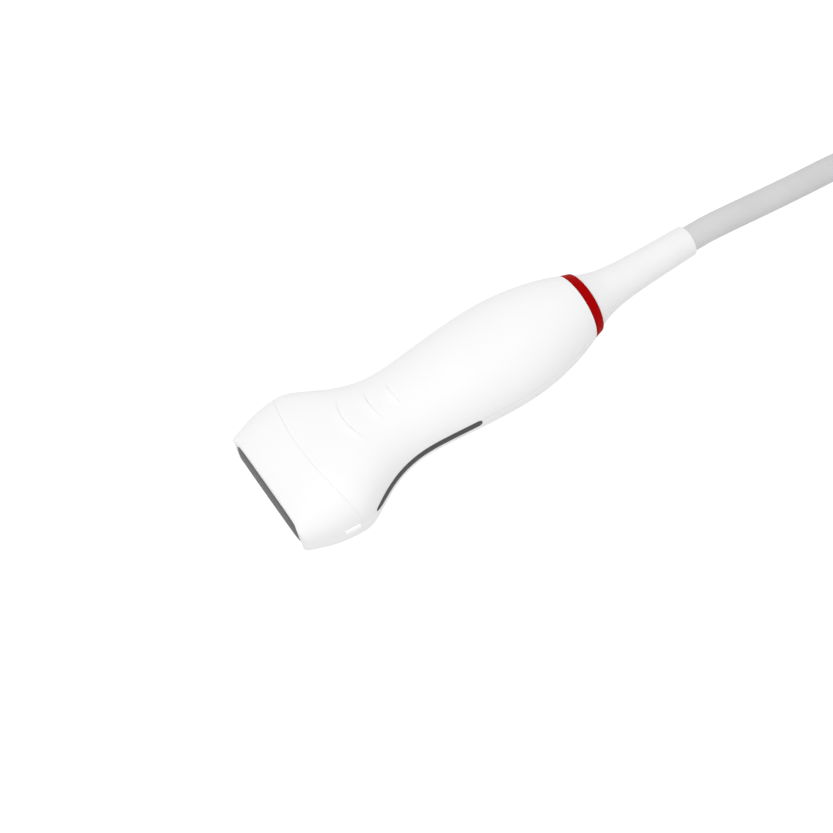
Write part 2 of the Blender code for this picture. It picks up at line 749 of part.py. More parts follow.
def shell_mesh(side):
    """One half of the handle, from the seam to the tail wall."""
    end = TAIL_AT - GAP / 2
    outer = []
    for i in range(ALONG + 1):
        row = []
        for t in HALF_TURN:
            start = on_seam(t, behind=GAP / 2)[0]
            row.append(on_skin(start + (end - start) * i / ALONG, t))
        outer.append(row)
    inner = []
    inner_end = TAIL_AT - END_WALL
    for share in (0.0, 0.02, 0.04, 0.06, 0.09, 0.13, 0.19, 0.28, 0.4, 0.55, 0.7, 0.85, 1.0):
        row = []
        for t in HALF_TURN:
            start = on_seam(t, WALL, GAP / 2)[0]
            row.append(on_skin(start + (inner_end - start) * share, t, WALL))
        inner.append(row)
    for x in (inner_end, end):
        inner.append([(x, TAIL_BORE * math.cos(t), TAIL_BORE * math.sin(t)) for t in HALF_TURN])

    bm = bmesh.new()

    def place(row):
        return [bm.verts.new((x, y, side * max(z, GAP / 2))) for x, y, z in row]

    outer = [place(row) for row in outer]
    inner = [place(row) for row in inner]
    for grid in (outer, inner):
        for near, far in zip(grid, grid[1:]):
            for j in range(HALF_AROUND):
                bm.faces.new((near[j], near[j + 1], far[j + 1], far[j]))
    for over, under in ((outer[0], inner[0]), (outer[-1], inner[-1])):
        for j in range(HALF_AROUND):
            bm.faces.new((over[j], over[j + 1], under[j + 1], under[j]))
    for j in (0, HALF_AROUND):
        bm.faces.new([row[j] for row in outer] + [row[j] for row in reversed(inner)])
    return bm


def strip_mesh(edge, grow, proud, crown, deep):
    """A strip along the parting line on one narrow side; edge is +1 or -1 in Y."""
    start, end = STRIP_START - grow, STRIP_END + grow
    widest = STRIP_WIDTH / 2 + grow
    stops = [start + (end - start) * share for share in
             (0.0, 0.05, 0.1, 0.15, 0.2, 0.3, 0.4, 0.5, 0.6, 0.7, 0.8, 0.9, 0.96, 0.985, 1.0)]
    loops = []
    for x in stops:
        lead = min((x - start) / STRIP_TAPER, 1.0)
        trail = min((end - x) / widest, 1.0)
        half = widest * max(math.sqrt(lead * (2 - lead)) * math.sqrt(trail * (2 - trail)), 0.15)
        levels = [half * k for k in (-1.0, -0.5, 0.0, 0.5, 1.0)]
        loop = []
        for z in levels:
            out = proud + crown * (1 - (z / half) ** 2) * half / widest
            loop.append((x, edge * (side_at(x, z) + out), z))
        loop += [(x, edge * (half_width(x) - deep), z) for z in (half, -half)]
        loops.append(loop)
    return loops_mesh(loops)


def rib_mesh(middle, half_length, bow):
    """A crescent: a ramp that rises towards the cable and drops in a step."""
    loops = []
    for i in range(11):
        place = 2 * i / 10 - 1
        y = half_length * place
        x = middle + bow * place * place
        height = RIB_HEIGHT * (1 - place ** 4) - 0.0001 * place ** 4
        ramp = RIB_RAMP * (1 - 0.7 * place * place)
        loops.append([
            (x - ramp, y, crown_at(x - ramp, y) - 0.0001),
            (x - 0.3 * ramp, y, crown_at(x - 0.3 * ramp, y) + 0.8 * height),
            (x, y, crown_at(x, y) + height),
            (x + RIB_STEP, y, crown_at(x + RIB_STEP, y) - 0.0001),
            (x + RIB_STEP, y, crown_at(x + RIB_STEP, y) - RIB_ROOT),
            (x - ramp, y, crown_at(x - ramp, y) - RIB_ROOT),
        ])
    return loops_mesh(loops)


def bulkhead_mesh(x):
    """A cross wall that holds the board's face, rooted half way into the wall."""
    level = BOARD_TOP + GAP
    arc = []
    for t in HALF_TURN[::2]:
        _, y, z = on_skin(x + BULKHEAD_THICKNESS / 2, t, WALL / 2)
        if z > level + WALL:
            arc.append((y, z))
    foot = arc[-1][0]
    outline = [(arc[0][0], level)] + arc + [(foot, level)]
    return prism(outline, x, x + BULKHEAD_THICKNESS, 0)


BULKHEADS = (
    BOARD_START + SOCKET_LENGTH + BULKHEAD_CLEARANCE,
    BOARD_END - BULKHEAD_CLEARANCE - BULKHEAD_THICKNESS,
)

for word, side in (("upper", 1), ("lower", -1)):
    shell = add("handle_" + word, shell_mesh(side), WHITE_PLASTIC)
    for i, (middle, half_length, bow) in enumerate(GRIP_RIBS):
        rib = cutter(f"rib_{word}_{i}", mirrored(rib_mesh(middle, half_length, bow), side))
        combine(shell, rib, "UNION")
    for i, x in enumerate(BULKHEADS):
        wall = cutter(f"bulkhead_{word}_{i}", mirrored(bulkhead_mesh(x), side))
        combine(shell, wall, "UNION")
    for flank, edge in (("near", -1), ("far", 1)):
        tool = cutter(f"strip_recess_{word}_{flank}",
                      strip_mesh(edge, GAP, 0.0010, 0.0, STRIP_THICKNESS + GAP))
        combine(shell, tool, "DIFFERENCE")

for flank, edge in (("near", -1), ("far", 1)):
    add("grip_strip_" + flank, strip_mesh(edge, 0.0, 0.0, STRIP_CROWN, STRIP_THICKNESS),
        STRIP_RUBBER)


# Colour ring and boot

RING_START = TAIL_AT + GAP / 2
RING_END = RING_START + RING_WIDTH
RING_BORE = BOOT_NECK_DIAMETER / 2 + GAP
ring_profile = [
    (RING_START, RING_BORE),
    (RING_START, TAIL_DIAMETER / 2),
    (RING_END - 0.0003, TAIL_DIAMETER / 2 - RING_TAPER),
    (RING_END, TAIL_DIAMETER / 2 - RING_TAPER - 0.0003),
    (RING_END, RING_BORE),
]
add("colour_ring", turned(ring_profile, ring=True, sides=48), RED_PLASTIC)

BOOT_START = RING_END + GAP


def boot_radius(share):
    """The boot flares where it leaves the ring, then tapers to the cable."""
    base, end = BOOT_BASE_DIAMETER / 2, BOOT_END_DIAMETER / 2
    waist = end + 0.22 * (base - end)
    flare = (base - waist) * math.exp(-share / 0.19)
    return end + (waist - end) * (1 - share) + flare * (1 - share)


boot_profile = [
    (BOOT_FLANGE_FRONT, BOOT_FLANGE_DIAMETER / 2),
    (BOOT_FLANGE_BACK, BOOT_FLANGE_DIAMETER / 2),
    (BOOT_FLANGE_BACK, BOOT_NECK_DIAMETER / 2),
    (BOOT_START, BOOT_NECK_DIAMETER / 2),
]
BOOT_ROUND = (BOOT_END_DIAMETER - CABLE_DIAMETER) / 2
for share in (0.0, 0.04, 0.09, 0.15, 0.22, 0.31, 0.42, 0.55, 0.7, 0.85, 0.98):
    boot_profile.append((BOOT_START + share * (BOOT_END - BOOT_START), boot_radius(share)))
boot_profile.append((BOOT_END, BOOT_END_DIAMETER / 2 - BOOT_ROUND))
add("strain_relief", turned(boot_profile, sides=36), BOOT_RUBBER)


# Cable: a lead, the rest in a hank behind the probe, and a short tail

def smooth_route(points, spacing):
    """Points at even steps along a Catmull-Rom curve through a route."""
    spots = [np.array(p) for p in points]
    spots = [2 * spots[0] - spots[1]] + spots + [2 * spots[-1] - spots[-2]]
    fine = []
    for a, b, c, d in zip(spots, spots[1:], spots[2:], spots[3:]):
        for t in np.linspace(0, 1, 12, endpoint=False):
            fine.append(0.5 * (2 * b + (c - a) * t + (2 * a - 5 * b + 4 * c - d) * t ** 2
                               + (3 * b - a - 3 * c + d) * t ** 3))
    fine.append(spots[-2])
    fine = np.array(fine)
    far = np.concatenate([[0.0], np.cumsum(np.linalg.norm(np.diff(fine, axis=0), axis=1))])
    count = max(int(round(far[-1] / spacing)), 1)
    stops = np.linspace(0, far[-1], count + 1)
    return np.stack([np.interp(stops, far, fine[:, i]) for i in range(3)], axis=1)


def tube(name, points):
    curve = bpy.data.curves.new(name, "CURVE")
    curve.dimensions = "3D"
    curve.bevel_depth = CABLE_RADIUS
    curve.bevel_resolution = 3
    curve.use_fill_caps = True
    spline = curve.splines.new("POLY")
    spline.points.add(len(points) - 1)
    for spot, point in zip(spline.points, points):
        spot.co = (*point, 1.0)
    made = bpy.data.objects.new(name, curve)
    bpy.context.scene.collection.objects.link(made)
    made.parent = frame
    curve.materials.append(CABLE_JACKET)
    return made


def along(route, start):
    """A route's points in the probe's frame, from where it starts along X."""
    return [(start + x, y, FLOOR + z) for x, y, z in route]


PLUG_BOOT_START = HANK_END + PLUG_BOOT_AHEAD
tube("cable", smooth_route(along(LEAD_ROUTE, BOOT_END), TUBE_STEP * CABLE_DIAMETER))
tube("cable_end", smooth_route(along(TAIL_ROUTE, HANK_END), TUBE_STEP * CABLE_DIAMETER))

hank_outline = []
for middle, start in ((HANK_END, -90), (HANK_START, 90)):
    for i in range(13):
        angle = math.radians(start + 15 * i)
        hank_outline.append((middle + HANK_EDGE * math.cos(angle), HANK_EDGE * math.sin(angle)))
hank = add("cable_hank", prism(hank_outline, FLOOR, FLOOR + HANK_TOP, 2), CABLE_JACKET)

TIE_MIDDLE = (HANK_START + HANK_END) / 2
tie_notch = block(
    (TIE_MIDDLE - TIE_WIDTH / 2 - GAP, -HANK_EDGE - GAP, FLOOR - GAP),
    (TIE_MIDDLE + TIE_WIDTH / 2 + GAP, HANK_EDGE + GAP, FLOOR + TIE_THICKNESS + GAP))
combine(hank, cutter("tie_notch", tie_notch), "DIFFERENCE")

tie_bottom, tie_top = FLOOR, FLOOR + HANK_TOP + GAP + TIE_THICKNESS
tie_side = HANK_EDGE + GAP + TIE_THICKNESS
tie_middle = (0.0, (tie_bottom + tie_top) / 2)
outer_frame = rounded_outline(2 * tie_side, tie_top - tie_bottom, 2 * TIE_THICKNESS,
                              3, tie_middle)
inner_frame = rounded_outline(2 * (tie_side - TIE_THICKNESS),
                              tie_top - tie_bottom - 2 * TIE_THICKNESS, TIE_THICKNESS / 4,
                              3, tie_middle)
tie_loops = []
for x, outline in ((-1, outer_frame), (1, outer_frame), (1, inner_frame), (-1, inner_frame)):
    tie_loops.append([(TIE_MIDDLE + x * TIE_WIDTH / 2, y, z) for y, z in outline])
add("cable_tie", loops_mesh(tie_loops, ring=True), STRIP_RUBBER)


# Connector: two moulded covers around a shrouded contact block

PLUG_START = PLUG_BOOT_START + PLUG_BOOT_LENGTH
PLUG_END = PLUG_START + PLUG_LENGTH
PLUG_AXIS = FLOOR + PLUG_HEIGHT / 2
plug_middle = (PLUG_START + PLUG_END) / 2


def plug_cover_mesh(side):
    """A tray with rounded corners, open at the plane where the covers meet."""
    def loop(inset, level):
        outline = rounded_outline(PLUG_LENGTH - 2 * inset, PLUG_WIDTH - 2 * inset,
                                  PLUG_CORNER - inset, 6, (plug_middle, 0.0))
        return [(x, y, PLUG_AXIS + side * level) for x, y in outline]
    half = PLUG_HEIGHT / 2
    return loops_mesh([
        loop(PLUG_EDGE, half), loop(0.3 * PLUG_EDGE, half - 0.3 * PLUG_EDGE),
        loop(0.0, half - PLUG_EDGE), loop(0.0, GAP / 2),
        loop(WALL, GAP / 2), loop(WALL, half - WALL),
    ])


def along_plug(outline, low, high):
    return loops_mesh([[(x, y, PLUG_AXIS + z) for y, z in outline] for x in (low, high)])


shroud_start = PLUG_END + SHROUD_PROUD - SHROUD_LENGTH
shroud_end = PLUG_END + SHROUD_PROUD
window = rounded_outline(SHROUD_WIDTH + 2 * GAP, SHROUD_HEIGHT + 2 * GAP,
                         SHROUD_CORNER + GAP, 3)
inlet_turns = [2 * math.pi * i / 32 for i in range(32)]
inlet_radius = PLUG_BOOT_MOUTH / 2 + GAP
inlet = [(inlet_radius * math.cos(t), inlet_radius * math.sin(t)) for t in inlet_turns]
for word, side in (("top", 1), ("bottom", -1)):
    cover = add("connector_" + word, plug_cover_mesh(side), GREY_PLASTIC)
    tool = cutter("shroud_window_" + word,
                  along_plug(window, PLUG_END - 2 * WALL, PLUG_END + WALL))
    combine(cover, tool, "DIFFERENCE")
    tool = cutter("cable_inlet_" + word,
                  along_plug(inlet, PLUG_START - WALL, PLUG_START + 2 * WALL))
    combine(cover, tool, "DIFFERENCE")

shroud_outer = rounded_outline(SHROUD_WIDTH, SHROUD_HEIGHT, SHROUD_CORNER, 3)
shroud_inner = rounded_outline(SHROUD_WIDTH - 2 * SHROUD_WALL, SHROUD_HEIGHT - 2 * SHROUD_WALL,
                               SHROUD_CORNER - SHROUD_WALL, 3)
shroud_loops = []
for x, outline in ((shroud_start, shroud_outer), (shroud_end, shroud_outer),
                   (shroud_end, shroud_inner), (shroud_start, shroud_inner)):
    shroud_loops.append([(x, y, PLUG_AXIS + z) for y, z in outline])
add("contact_shroud", loops_mesh(shroud_loops, ring=True), STEEL)

block_width = SHROUD_WIDTH - 2 * SHROUD_WALL - 2 * GAP
block_height = SHROUD_HEIGHT - 2 * SHROUD_WALL - 2 * GAP
contact_outline = comb_outline(block_width, shroud_start, shroud_end - CONTACT_FLUSH,
                               CONTACT_SLOTS, CONTACT_SLOT_WIDTH, CONTACT_SLOT_DEPTH)
contact_outline = [(x, y) for y, x in contact_outline]
add("contact_block", prism(contact_outline, PLUG_AXIS - block_height / 2,
                           PLUG_AXIS + block_height / 2, 2), DARK_PLASTIC, smooth=False)

board_end = shroud_start - GAP
add("connector_board", block(
    (board_end - PLUG_BOARD_LENGTH, -PLUG_BOARD_WIDTH / 2, PLUG_AXIS - BOARD_TOP),
    (board_end, PLUG_BOARD_WIDTH / 2, PLUG_AXIS + BOARD_TOP)), BOARD_GREEN)

# the connector's boot ends in a neck and a flange behind the covers' wall
mouth = PLUG_BOOT_MOUTH / 2
wide = PLUG_BOOT_DIAMETER / 2
plug_boot_profile = [
    (PLUG_BOOT_START, CABLE_RADIUS + 0.0002),
    (PLUG_BOOT_START + 0.0006, mouth),
    (PLUG_START - GAP - 0.3 * PLUG_BOOT_LENGTH, 0.5 * (mouth + wide)),
    (PLUG_START - GAP, wide),
    (PLUG_START - GAP, mouth),
    (PLUG_START + WALL + GAP, mouth),
    (PLUG_START + WALL + GAP, wide),
    (PLUG_START + WALL + GAP + PLUG_FLANGE, wide),
]
plug_boot = turned(plug_boot_profile, sides=32)
for vert in plug_boot.verts:
    vert.co.z += PLUG_AXIS
add("connector_boot", plug_boot, BOOT_RUBBER)
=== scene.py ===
# %% [markdown]
# # An ultrasound probe, piece by piece
# The object is a hand-held linear-array probe: a white plastic housing with a
# dark rubber lens at one end, a red ring and a soft boot at the other, and a
# grey cable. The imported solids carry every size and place. This script gives
# them the fine surface, the finishes, the light and the camera.

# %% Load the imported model
import math

import bmesh
import bpy
import numpy as np
from mathutils import Matrix, Vector
from mathutils.geometry import interpolate_bezier


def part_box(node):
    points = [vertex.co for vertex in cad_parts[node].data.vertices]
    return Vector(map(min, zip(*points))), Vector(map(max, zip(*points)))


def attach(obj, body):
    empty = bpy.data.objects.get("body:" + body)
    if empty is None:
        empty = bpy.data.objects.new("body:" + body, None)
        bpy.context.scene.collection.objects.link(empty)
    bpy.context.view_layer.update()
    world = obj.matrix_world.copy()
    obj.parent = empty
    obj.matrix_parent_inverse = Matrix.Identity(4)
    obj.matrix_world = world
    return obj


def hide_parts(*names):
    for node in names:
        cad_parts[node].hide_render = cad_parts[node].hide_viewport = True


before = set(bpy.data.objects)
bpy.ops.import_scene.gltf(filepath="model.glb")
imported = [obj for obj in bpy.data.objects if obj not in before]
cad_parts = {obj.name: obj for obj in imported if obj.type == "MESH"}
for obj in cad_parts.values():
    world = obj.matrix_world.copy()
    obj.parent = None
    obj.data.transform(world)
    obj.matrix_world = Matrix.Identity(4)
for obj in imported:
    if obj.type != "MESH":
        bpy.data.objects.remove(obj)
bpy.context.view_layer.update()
print("nodes:", len(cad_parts))


# %% [markdown]
# ## Where things are
# Lengths along the housing are measured from the flat front of the nosepiece,
# as a designer would measure them, and the frame says where that front is.
# The lens crown is the probe's foremost point, and the boot's mouth is its last.

# %% Reference places
def mm(value):
    return value / 1000


LENS_CROWN = mm(0.9)
FACE_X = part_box("acoustic_lens")[0][0] + LENS_CROWN
BOOT_MOUTH_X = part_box("strain_relief")[1][0]
FLOOR_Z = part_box("handle_lower")[0][2]
AXIS_Z = (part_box("strain_relief")[0][2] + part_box("strain_relief")[1][2]) / 2
ROW_PLACE = Matrix.Translation((FACE_X, 0.0, AXIS_Z))
print("front face at", round(FACE_X, 5), "boot ends at", round(BOOT_MOUTH_X, 5))


# %% [markdown]
# ## Camera
# The photograph looks down on the broad face from the marker's side,
# with the camera rolled so that the probe runs up to the right. The place,
# the three angles and the focal length come from fitting the housing's known
# outline to the photograph.

# %% Camera
CAMERA_PLACE = (mm(-54.4), mm(-281.7), mm(426.7))
CAMERA_AZIMUTH = math.radians(-21.0)
CAMERA_ELEVATION = math.radians(55.1)
CAMERA_ROLL = math.radians(-13.87)
FOCAL_LENGTH = 70.9


def camera_turn(azimuth, elevation, roll):
    """The turn of a camera that looks down at the object from this direction."""
    back = Vector((math.sin(azimuth) * math.cos(elevation),
                   -math.cos(azimuth) * math.cos(elevation), math.sin(elevation)))
    level = Vector((math.cos(azimuth), math.sin(azimuth), 0.0))
    upright = back.cross(level)
    right = math.cos(roll) * level + math.sin(roll) * upright
    up = back.cross(right)
    return Matrix((right, up, back)).transposed().to_4x4()


def new_object(name, data):
    """Make an object and put it in the scene."""
    made = bpy.data.objects.new(name, data)
    bpy.context.scene.collection.objects.link(made)
    return made


camera_data = bpy.data.cameras.new("photo_camera")
camera_data.lens = FOCAL_LENGTH
camera_data.sensor_width = 36.0
camera = new_object("photo_camera", camera_data)
camera.matrix_world = (ROW_PLACE @ Matrix.Translation(CAMERA_PLACE)
                       @ camera_turn(CAMERA_AZIMUTH, CAMERA_ELEVATION, CAMERA_ROLL))
bpy.context.scene.camera = camera
print("camera", [round(v, 3) for v in camera.matrix_world.translation])


# %% [markdown]
# ## Helpers for materials
# Colours are written as sRGB hex values, the way a colour picker shows them,
# and one function turns them to the linear values that a shader works with.
# One function adds a node: its inputs take either a value or another socket.

# %% Colour and node helpers
def srgb(code):
    """A hex colour as a linear RGBA value."""
    parts = [int(code[i:i + 2], 16) / 255 for i in (1, 3, 5)]
    return (*[p / 12.92 if p <= 0.04045 else ((p + 0.055) / 1.055) ** 2.4 for p in parts], 1.0)


def add_node(tree, kind, inputs=None, **settings):
    """Add one node, set it up, and link or fill its inputs."""
    made = tree.nodes.new(kind)
    for name, value in settings.items():
        setattr(made, name, value)
    for socket, value in (inputs or {}).items():
        if isinstance(value, bpy.types.NodeSocket):
            tree.links.new(value, made.inputs[socket])
        else:
            made.inputs[socket].default_value = value
    return made


def new_material(name, **shader_values):
    """A Principled material; names use _ where the socket's name has a space."""
    made = bpy.data.materials.new(name)
    made.use_nodes = True
    shader = made.node_tree.nodes["Principled BSDF"]
    for key, value in shader_values.items():
        shader.inputs[key.replace("_", " ")].default_value = value
    return made, made.node_tree, shader


def object_pattern(tree, kind, size, stretch=(1.0, 1.0, 1.0), **inputs):
    """A pattern in the piece's own space whose features are about one size apart."""
    place = add_node(tree, "ShaderNodeTexCoord")
    fit = add_node(tree, "ShaderNodeMapping", {"Vector": place.outputs["Object"],
                                               "Scale": stretch})
    return add_node(tree, kind, {"Vector": fit.outputs["Vector"], "Scale": 1 / size, **inputs})


def paint(tree, shader, factor, low, high):
    """Run the shader's colour from one hex colour to another with a pattern."""
    mix = add_node(tree, "ShaderNodeMix", {"Factor": factor, 6: srgb(low), 7: srgb(high)},
                   data_type="RGBA")
    tree.links.new(mix.outputs[2], shader.inputs["Base Color"])


def vary_roughness(tree, shader, factor, low, high):
    """Run the shader's roughness from one value to another with a pattern."""
    fit = add_node(tree, "ShaderNodeMapRange", {"Value": factor, "To Min": low, "To Max": high})
    tree.links.new(fit.outputs["Result"], shader.inputs["Roughness"])


def bumped(tree, shader, height, distance):
    """Feed a height pattern to the shader as a bump this deep."""
    bump = add_node(tree, "ShaderNodeBump", {"Height": height, "Distance": distance})
    tree.links.new(bump.outputs["Normal"], shader.inputs["Normal"])


# %% [markdown]
# ## Finishes
# Each finish starts from what the real one is and how it was made. A mould's
# eroded texture is a bump of a few hundredths of a millimetre or less; rubber
# and the cable's jacket have a faint bloom; printed circuit boards show tracks
# under their lacquer. Patterns too fine to see at this distance are drawn as
# coarse as they need to be to show.

# %% Housing plastics
def moulded_plastic(name, low, high, roughness, grain, depth, mirror=0.5):
    """Injection-moulded plastic: an even colour over a fine eroded mould texture."""
    made, tree, shader = new_material(name, Roughness=roughness, IOR=1.5,
                                      Specular_IOR_Level=mirror)
    cloud = object_pattern(tree, "ShaderNodeTexNoise", mm(18), Detail=2.0)
    paint(tree, shader, cloud.outputs["Fac"], low, high)
    grit = object_pattern(tree, "ShaderNodeTexNoise", grain, Detail=3.0)
    bumped(tree, shader, grit.outputs["Fac"], depth)
    return made


# ABS housing, polished tool: white, satin, almost without grain
housing_abs = moulded_plastic("white_abs_moulding", "#F1F1F1", "#F4F4F4", 0.45, mm(0.5),
                              mm(0.004), mirror=0.25)
# marker: the housing's white ABS, its colour painted a shade lighter than the housing's as a painted
# highlight
marker_lit_abs = moulded_plastic("marker_abs_painted_highlight", "#FEFEFE", "#FFFFFF", 0.35, mm(0.5),
                             mm(0.003))
# ASA ring, strongly coloured and hardly glossy
ring_asa = moulded_plastic("red_asa_moulding", "#A20102", "#A80203", 0.45, mm(0.8), mm(0.004),
                           mirror=0.02)
# connector covers: pale grey with a coarser eroded texture
cover_abs = moulded_plastic("grey_abs_moulding", "#CBCCCE", "#D3D4D6", 0.45, mm(0.45), mm(0.03))
# glass-filled nylon in sockets and the contact block
nylon_black = moulded_plastic("black_nylon_moulding", "#1D1D20", "#26262A", 0.5, mm(0.4), mm(0.02))
print("plastics ready")


# %% Rubbers
def cast_rubber(name, low, high, roughness, grain, depth):
    """Silicone or elastomer: dull, with a faint bloom that changes the roughness."""
    made, tree, shader = new_material(name, IOR=1.45, Specular_IOR_Level=0.3)
    bloom = object_pattern(tree, "ShaderNodeTexNoise", mm(6), Detail=3.0)
    paint(tree, shader, bloom.outputs["Fac"], low, high)
    vary_roughness(tree, shader, bloom.outputs["Fac"], roughness - 0.06, roughness + 0.06)
    grit = object_pattern(tree, "ShaderNodeTexNoise", grain, Detail=2.0)
    bumped(tree, shader, grit.outputs["Fac"], depth)
    return made


lens_silicone = cast_rubber("lens_silicone", "#57585A", "#606163", 0.5, mm(0.6), mm(0.006))
strip_elastomer = cast_rubber("strip_elastomer", "#48484A", "#525254", 0.55, mm(0.35), mm(0.015))
boot_elastomer = cast_rubber("boot_elastomer", "#ECECEC", "#F1F1F1", 0.5, mm(0.4), mm(0.008))
seal_nitrile = cast_rubber("seal_nitrile", "#17171A", "#202024", 0.55, mm(0.4), mm(0.01))


# %% Cable jacket
def extruded_jacket(name, low, high):
    """PVC jacket: matt grey with a faint bloom and a fine grain."""
    made, tree, shader = new_material(name, Roughness=0.5, IOR=1.5, Specular_IOR_Level=0.1)
    bloom = object_pattern(tree, "ShaderNodeTexNoise", mm(14), Detail=3.0)
    paint(tree, shader, bloom.outputs["Fac"], low, high)
    grit = object_pattern(tree, "ShaderNodeTexNoise", mm(0.5), Detail=2.0)
    bumped(tree, shader, grit.outputs["Fac"], mm(0.01))
    return made


jacket_pvc = extruded_jacket("cable_jacket_pvc", "#CECECF", "#D6D6D7")
print("rubbers and jacket ready")


# %% Metals, ceramic, films and boards
def worked_metal(name, colour, roughness, grain, stretch, depth):
    """Metal with the fine parallel marks that its tool left."""
    made, tree, shader = new_material(name, Metallic=1.0, Roughness=roughness)
    shader.inputs["Base Color"].default_value = srgb(colour)
    marks = object_pattern(tree, "ShaderNodeTexNoise", grain, stretch, Detail=4.0)
    vary_roughness(tree, shader, marks.outputs["Fac"], roughness - 0.08, roughness + 0.1)
    bumped(tree, shader, marks.outputs["Fac"], depth)
    return made


milled_aluminium = worked_metal("milled_aluminium", "#D9DADC", 0.38, mm(0.6), (1, 6, 6), mm(0.01))
tinned_copper = worked_metal("tinned_copper_sheet", "#D59A74", 0.36, mm(0.8), (5, 1, 5), mm(0.01))
nickel_steel = worked_metal("nickel_plated_steel", "#C9C8C4", 0.3, mm(0.7), (1, 5, 5), mm(0.008))
gold_flash = worked_metal("gold_flashed_contact", "#E7C266", 0.25, mm(0.5), (1, 3, 3), mm(0.004))


def patterned(name, kind, size, low, high, depth, output="Fac", inputs=None, **shader_values):
    """A finish whose colour and bump follow one pattern; a wave's bands run along X."""
    made, tree, shader = new_material(name, **shader_values)
    pattern = object_pattern(tree, kind, size, **(inputs or {}))
    if kind == "ShaderNodeTexWave":
        pattern.bands_direction = "Y"
    paint(tree, shader, pattern.outputs[output], low, high)
    bumped(tree, shader, pattern.outputs[output], depth)
    return made


def lacquered_board():
    """Glass epoxy board under green lacquer, its tracks a shade lighter."""
    made, tree, shader = new_material("lacquered_board", Roughness=0.4, Coat_Weight=0.4)
    tracks = object_pattern(tree, "ShaderNodeTexBrick", mm(6))
    tracks.inputs["Color1"].default_value = srgb("#14512C")
    tracks.inputs["Color2"].default_value = srgb("#1A6236")
    tracks.inputs["Mortar"].default_value = srgb("#3A8A54")
    tracks.inputs["Mortar Size"].default_value = 0.05
    tree.links.new(tracks.outputs["Color"], shader.inputs["Base Color"])
    bumped(tree, shader, tracks.outputs["Fac"], mm(0.02))
    return made


# PZT ceramic: pale buff with small dark pores
piezo_pzt = patterned("sintered_ceramic", "ShaderNodeTexVoronoi", mm(0.4), "#A89468", "#C6B588",
                      mm(0.02), output="Distance", Roughness=0.6)
# epoxy filled with tungsten powder: near black with fine bright specks
epoxy = patterned("loaded_epoxy", "ShaderNodeTexNoise", mm(0.3), "#26272A", "#4A4B50", mm(0.02),
                  inputs={"Detail": 4.0}, Roughness=0.6)
# polyimide film over copper: amber with darker parallel tracks along it
flex_film = patterned("printed_polyimide", "ShaderNodeTexWave", mm(3.8), "#8A4A12", "#C98A3A",
                      mm(0.02), inputs={"Distortion": 0.0}, Roughness=0.32, Coat_Weight=0.3)
# a bundle of hair-thin coax: many pale red strands side by side
coax_strands = patterned("bundled_coax_jackets", "ShaderNodeTexWave", mm(2.0), "#8C5A50",
                         "#C98F84", mm(0.15), inputs={"Distortion": 1.2}, Roughness=0.45)
board_lacquer = lacquered_board()
print("materials:", len(bpy.data.materials))


# %% [markdown]
# ## Helpers for shapes
# Most pieces are lofts: a list of closed loops with the same number of points,
# skinned one to the next and closed at the ends or joined as a ring. After
# skinning, the normals are recalculated so that every face points outwards.

# %% Shape helpers
def smoothstep(share):
    """A share kept between 0 and 1, and eased at both ends."""
    share = min(max(share, 0.0), 1.0)
    return share * share * (3 - 2 * share)


def quarter_round(steps):
    """Points of a quarter round as shares of its radius: inset, and how far along."""
    turns = [math.pi / 2 * i / steps for i in range(steps + 1)]
    return [(1 - math.sin(turn), 1 - math.cos(turn)) for turn in turns]


def to_mesh(name, bm):
    """Turn a bmesh into a mesh whose faces all point outwards."""
    bm.normal_update()
    bmesh.ops.recalc_face_normals(bm, faces=bm.faces[:])
    mesh = bpy.data.meshes.new(name)
    bm.to_mesh(mesh)
    bm.free()
    return mesh


def shade(mesh, sharp=40):
    """Smooth shading, with a crisp edge where faces meet at more than this angle."""
    mesh.shade_smooth()
    mesh.set_sharp_from_angle(angle=math.radians(sharp))


def finish_mesh(name, bm, material, slot, *nodes, sharp=40):
    """Turn a bmesh into a smooth piece that rides on the probe and replaces nodes."""
    mesh = to_mesh(name, bm)
    shade(mesh, sharp)
    return adopt(new_object(name, mesh), material, slot, *nodes)


def keep_result(piece, change):
    """Make what a modifier does to a piece its mesh, and take the modifier off."""
    result = bpy.data.meshes.new_from_object(piece.evaluated_get(
        bpy.context.evaluated_depsgraph_get()))
    piece.modifiers.remove(change)
    old = piece.data
    piece.data = result
    bpy.data.meshes.remove(old)
    shade(result)


def adopt(piece, material, slot, *nodes):
    """Give a piece its material, its body and the nodes it stands for; the slot is not used."""
    piece.data.materials.clear()
    piece.data.materials.append(material)
    if nodes:
        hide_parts(*nodes)
    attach(piece, "root")
    return piece


def skin_loops(loops, ring=False):
    """Skin closed loops; cap both ends, or join the last to the first."""
    bm = bmesh.new()
    rows = [[bm.verts.new(place) for place in loop] for loop in loops]
    pairs = list(zip(rows, rows[1:]))
    if ring:
        pairs.append((rows[-1], rows[0]))
    for near, far in pairs:
        for i in range(len(near)):
            k = (i + 1) % len(near)
            bm.faces.new((near[i], near[k], far[k], far[i]))
    if not ring:
        bm.faces.new(rows[0])
        bm.faces.new(rows[-1])
    return bm


def to_row(bm):
    """Move a shape drawn from the front face and the axis to its place in the row."""
    bmesh.ops.transform(bm, matrix=ROW_PLACE, verts=bm.verts[:])
    return bm


def turned(profile, ring=False, sides=96):
    """Turn (along, radius) points about the probe's axis."""
    turns = [2 * math.pi * i / sides for i in range(sides)]
    loops = [[(x, r * math.cos(t), r * math.sin(t)) for t in turns] for x, r in profile]
    return skin_loops(loops, ring)


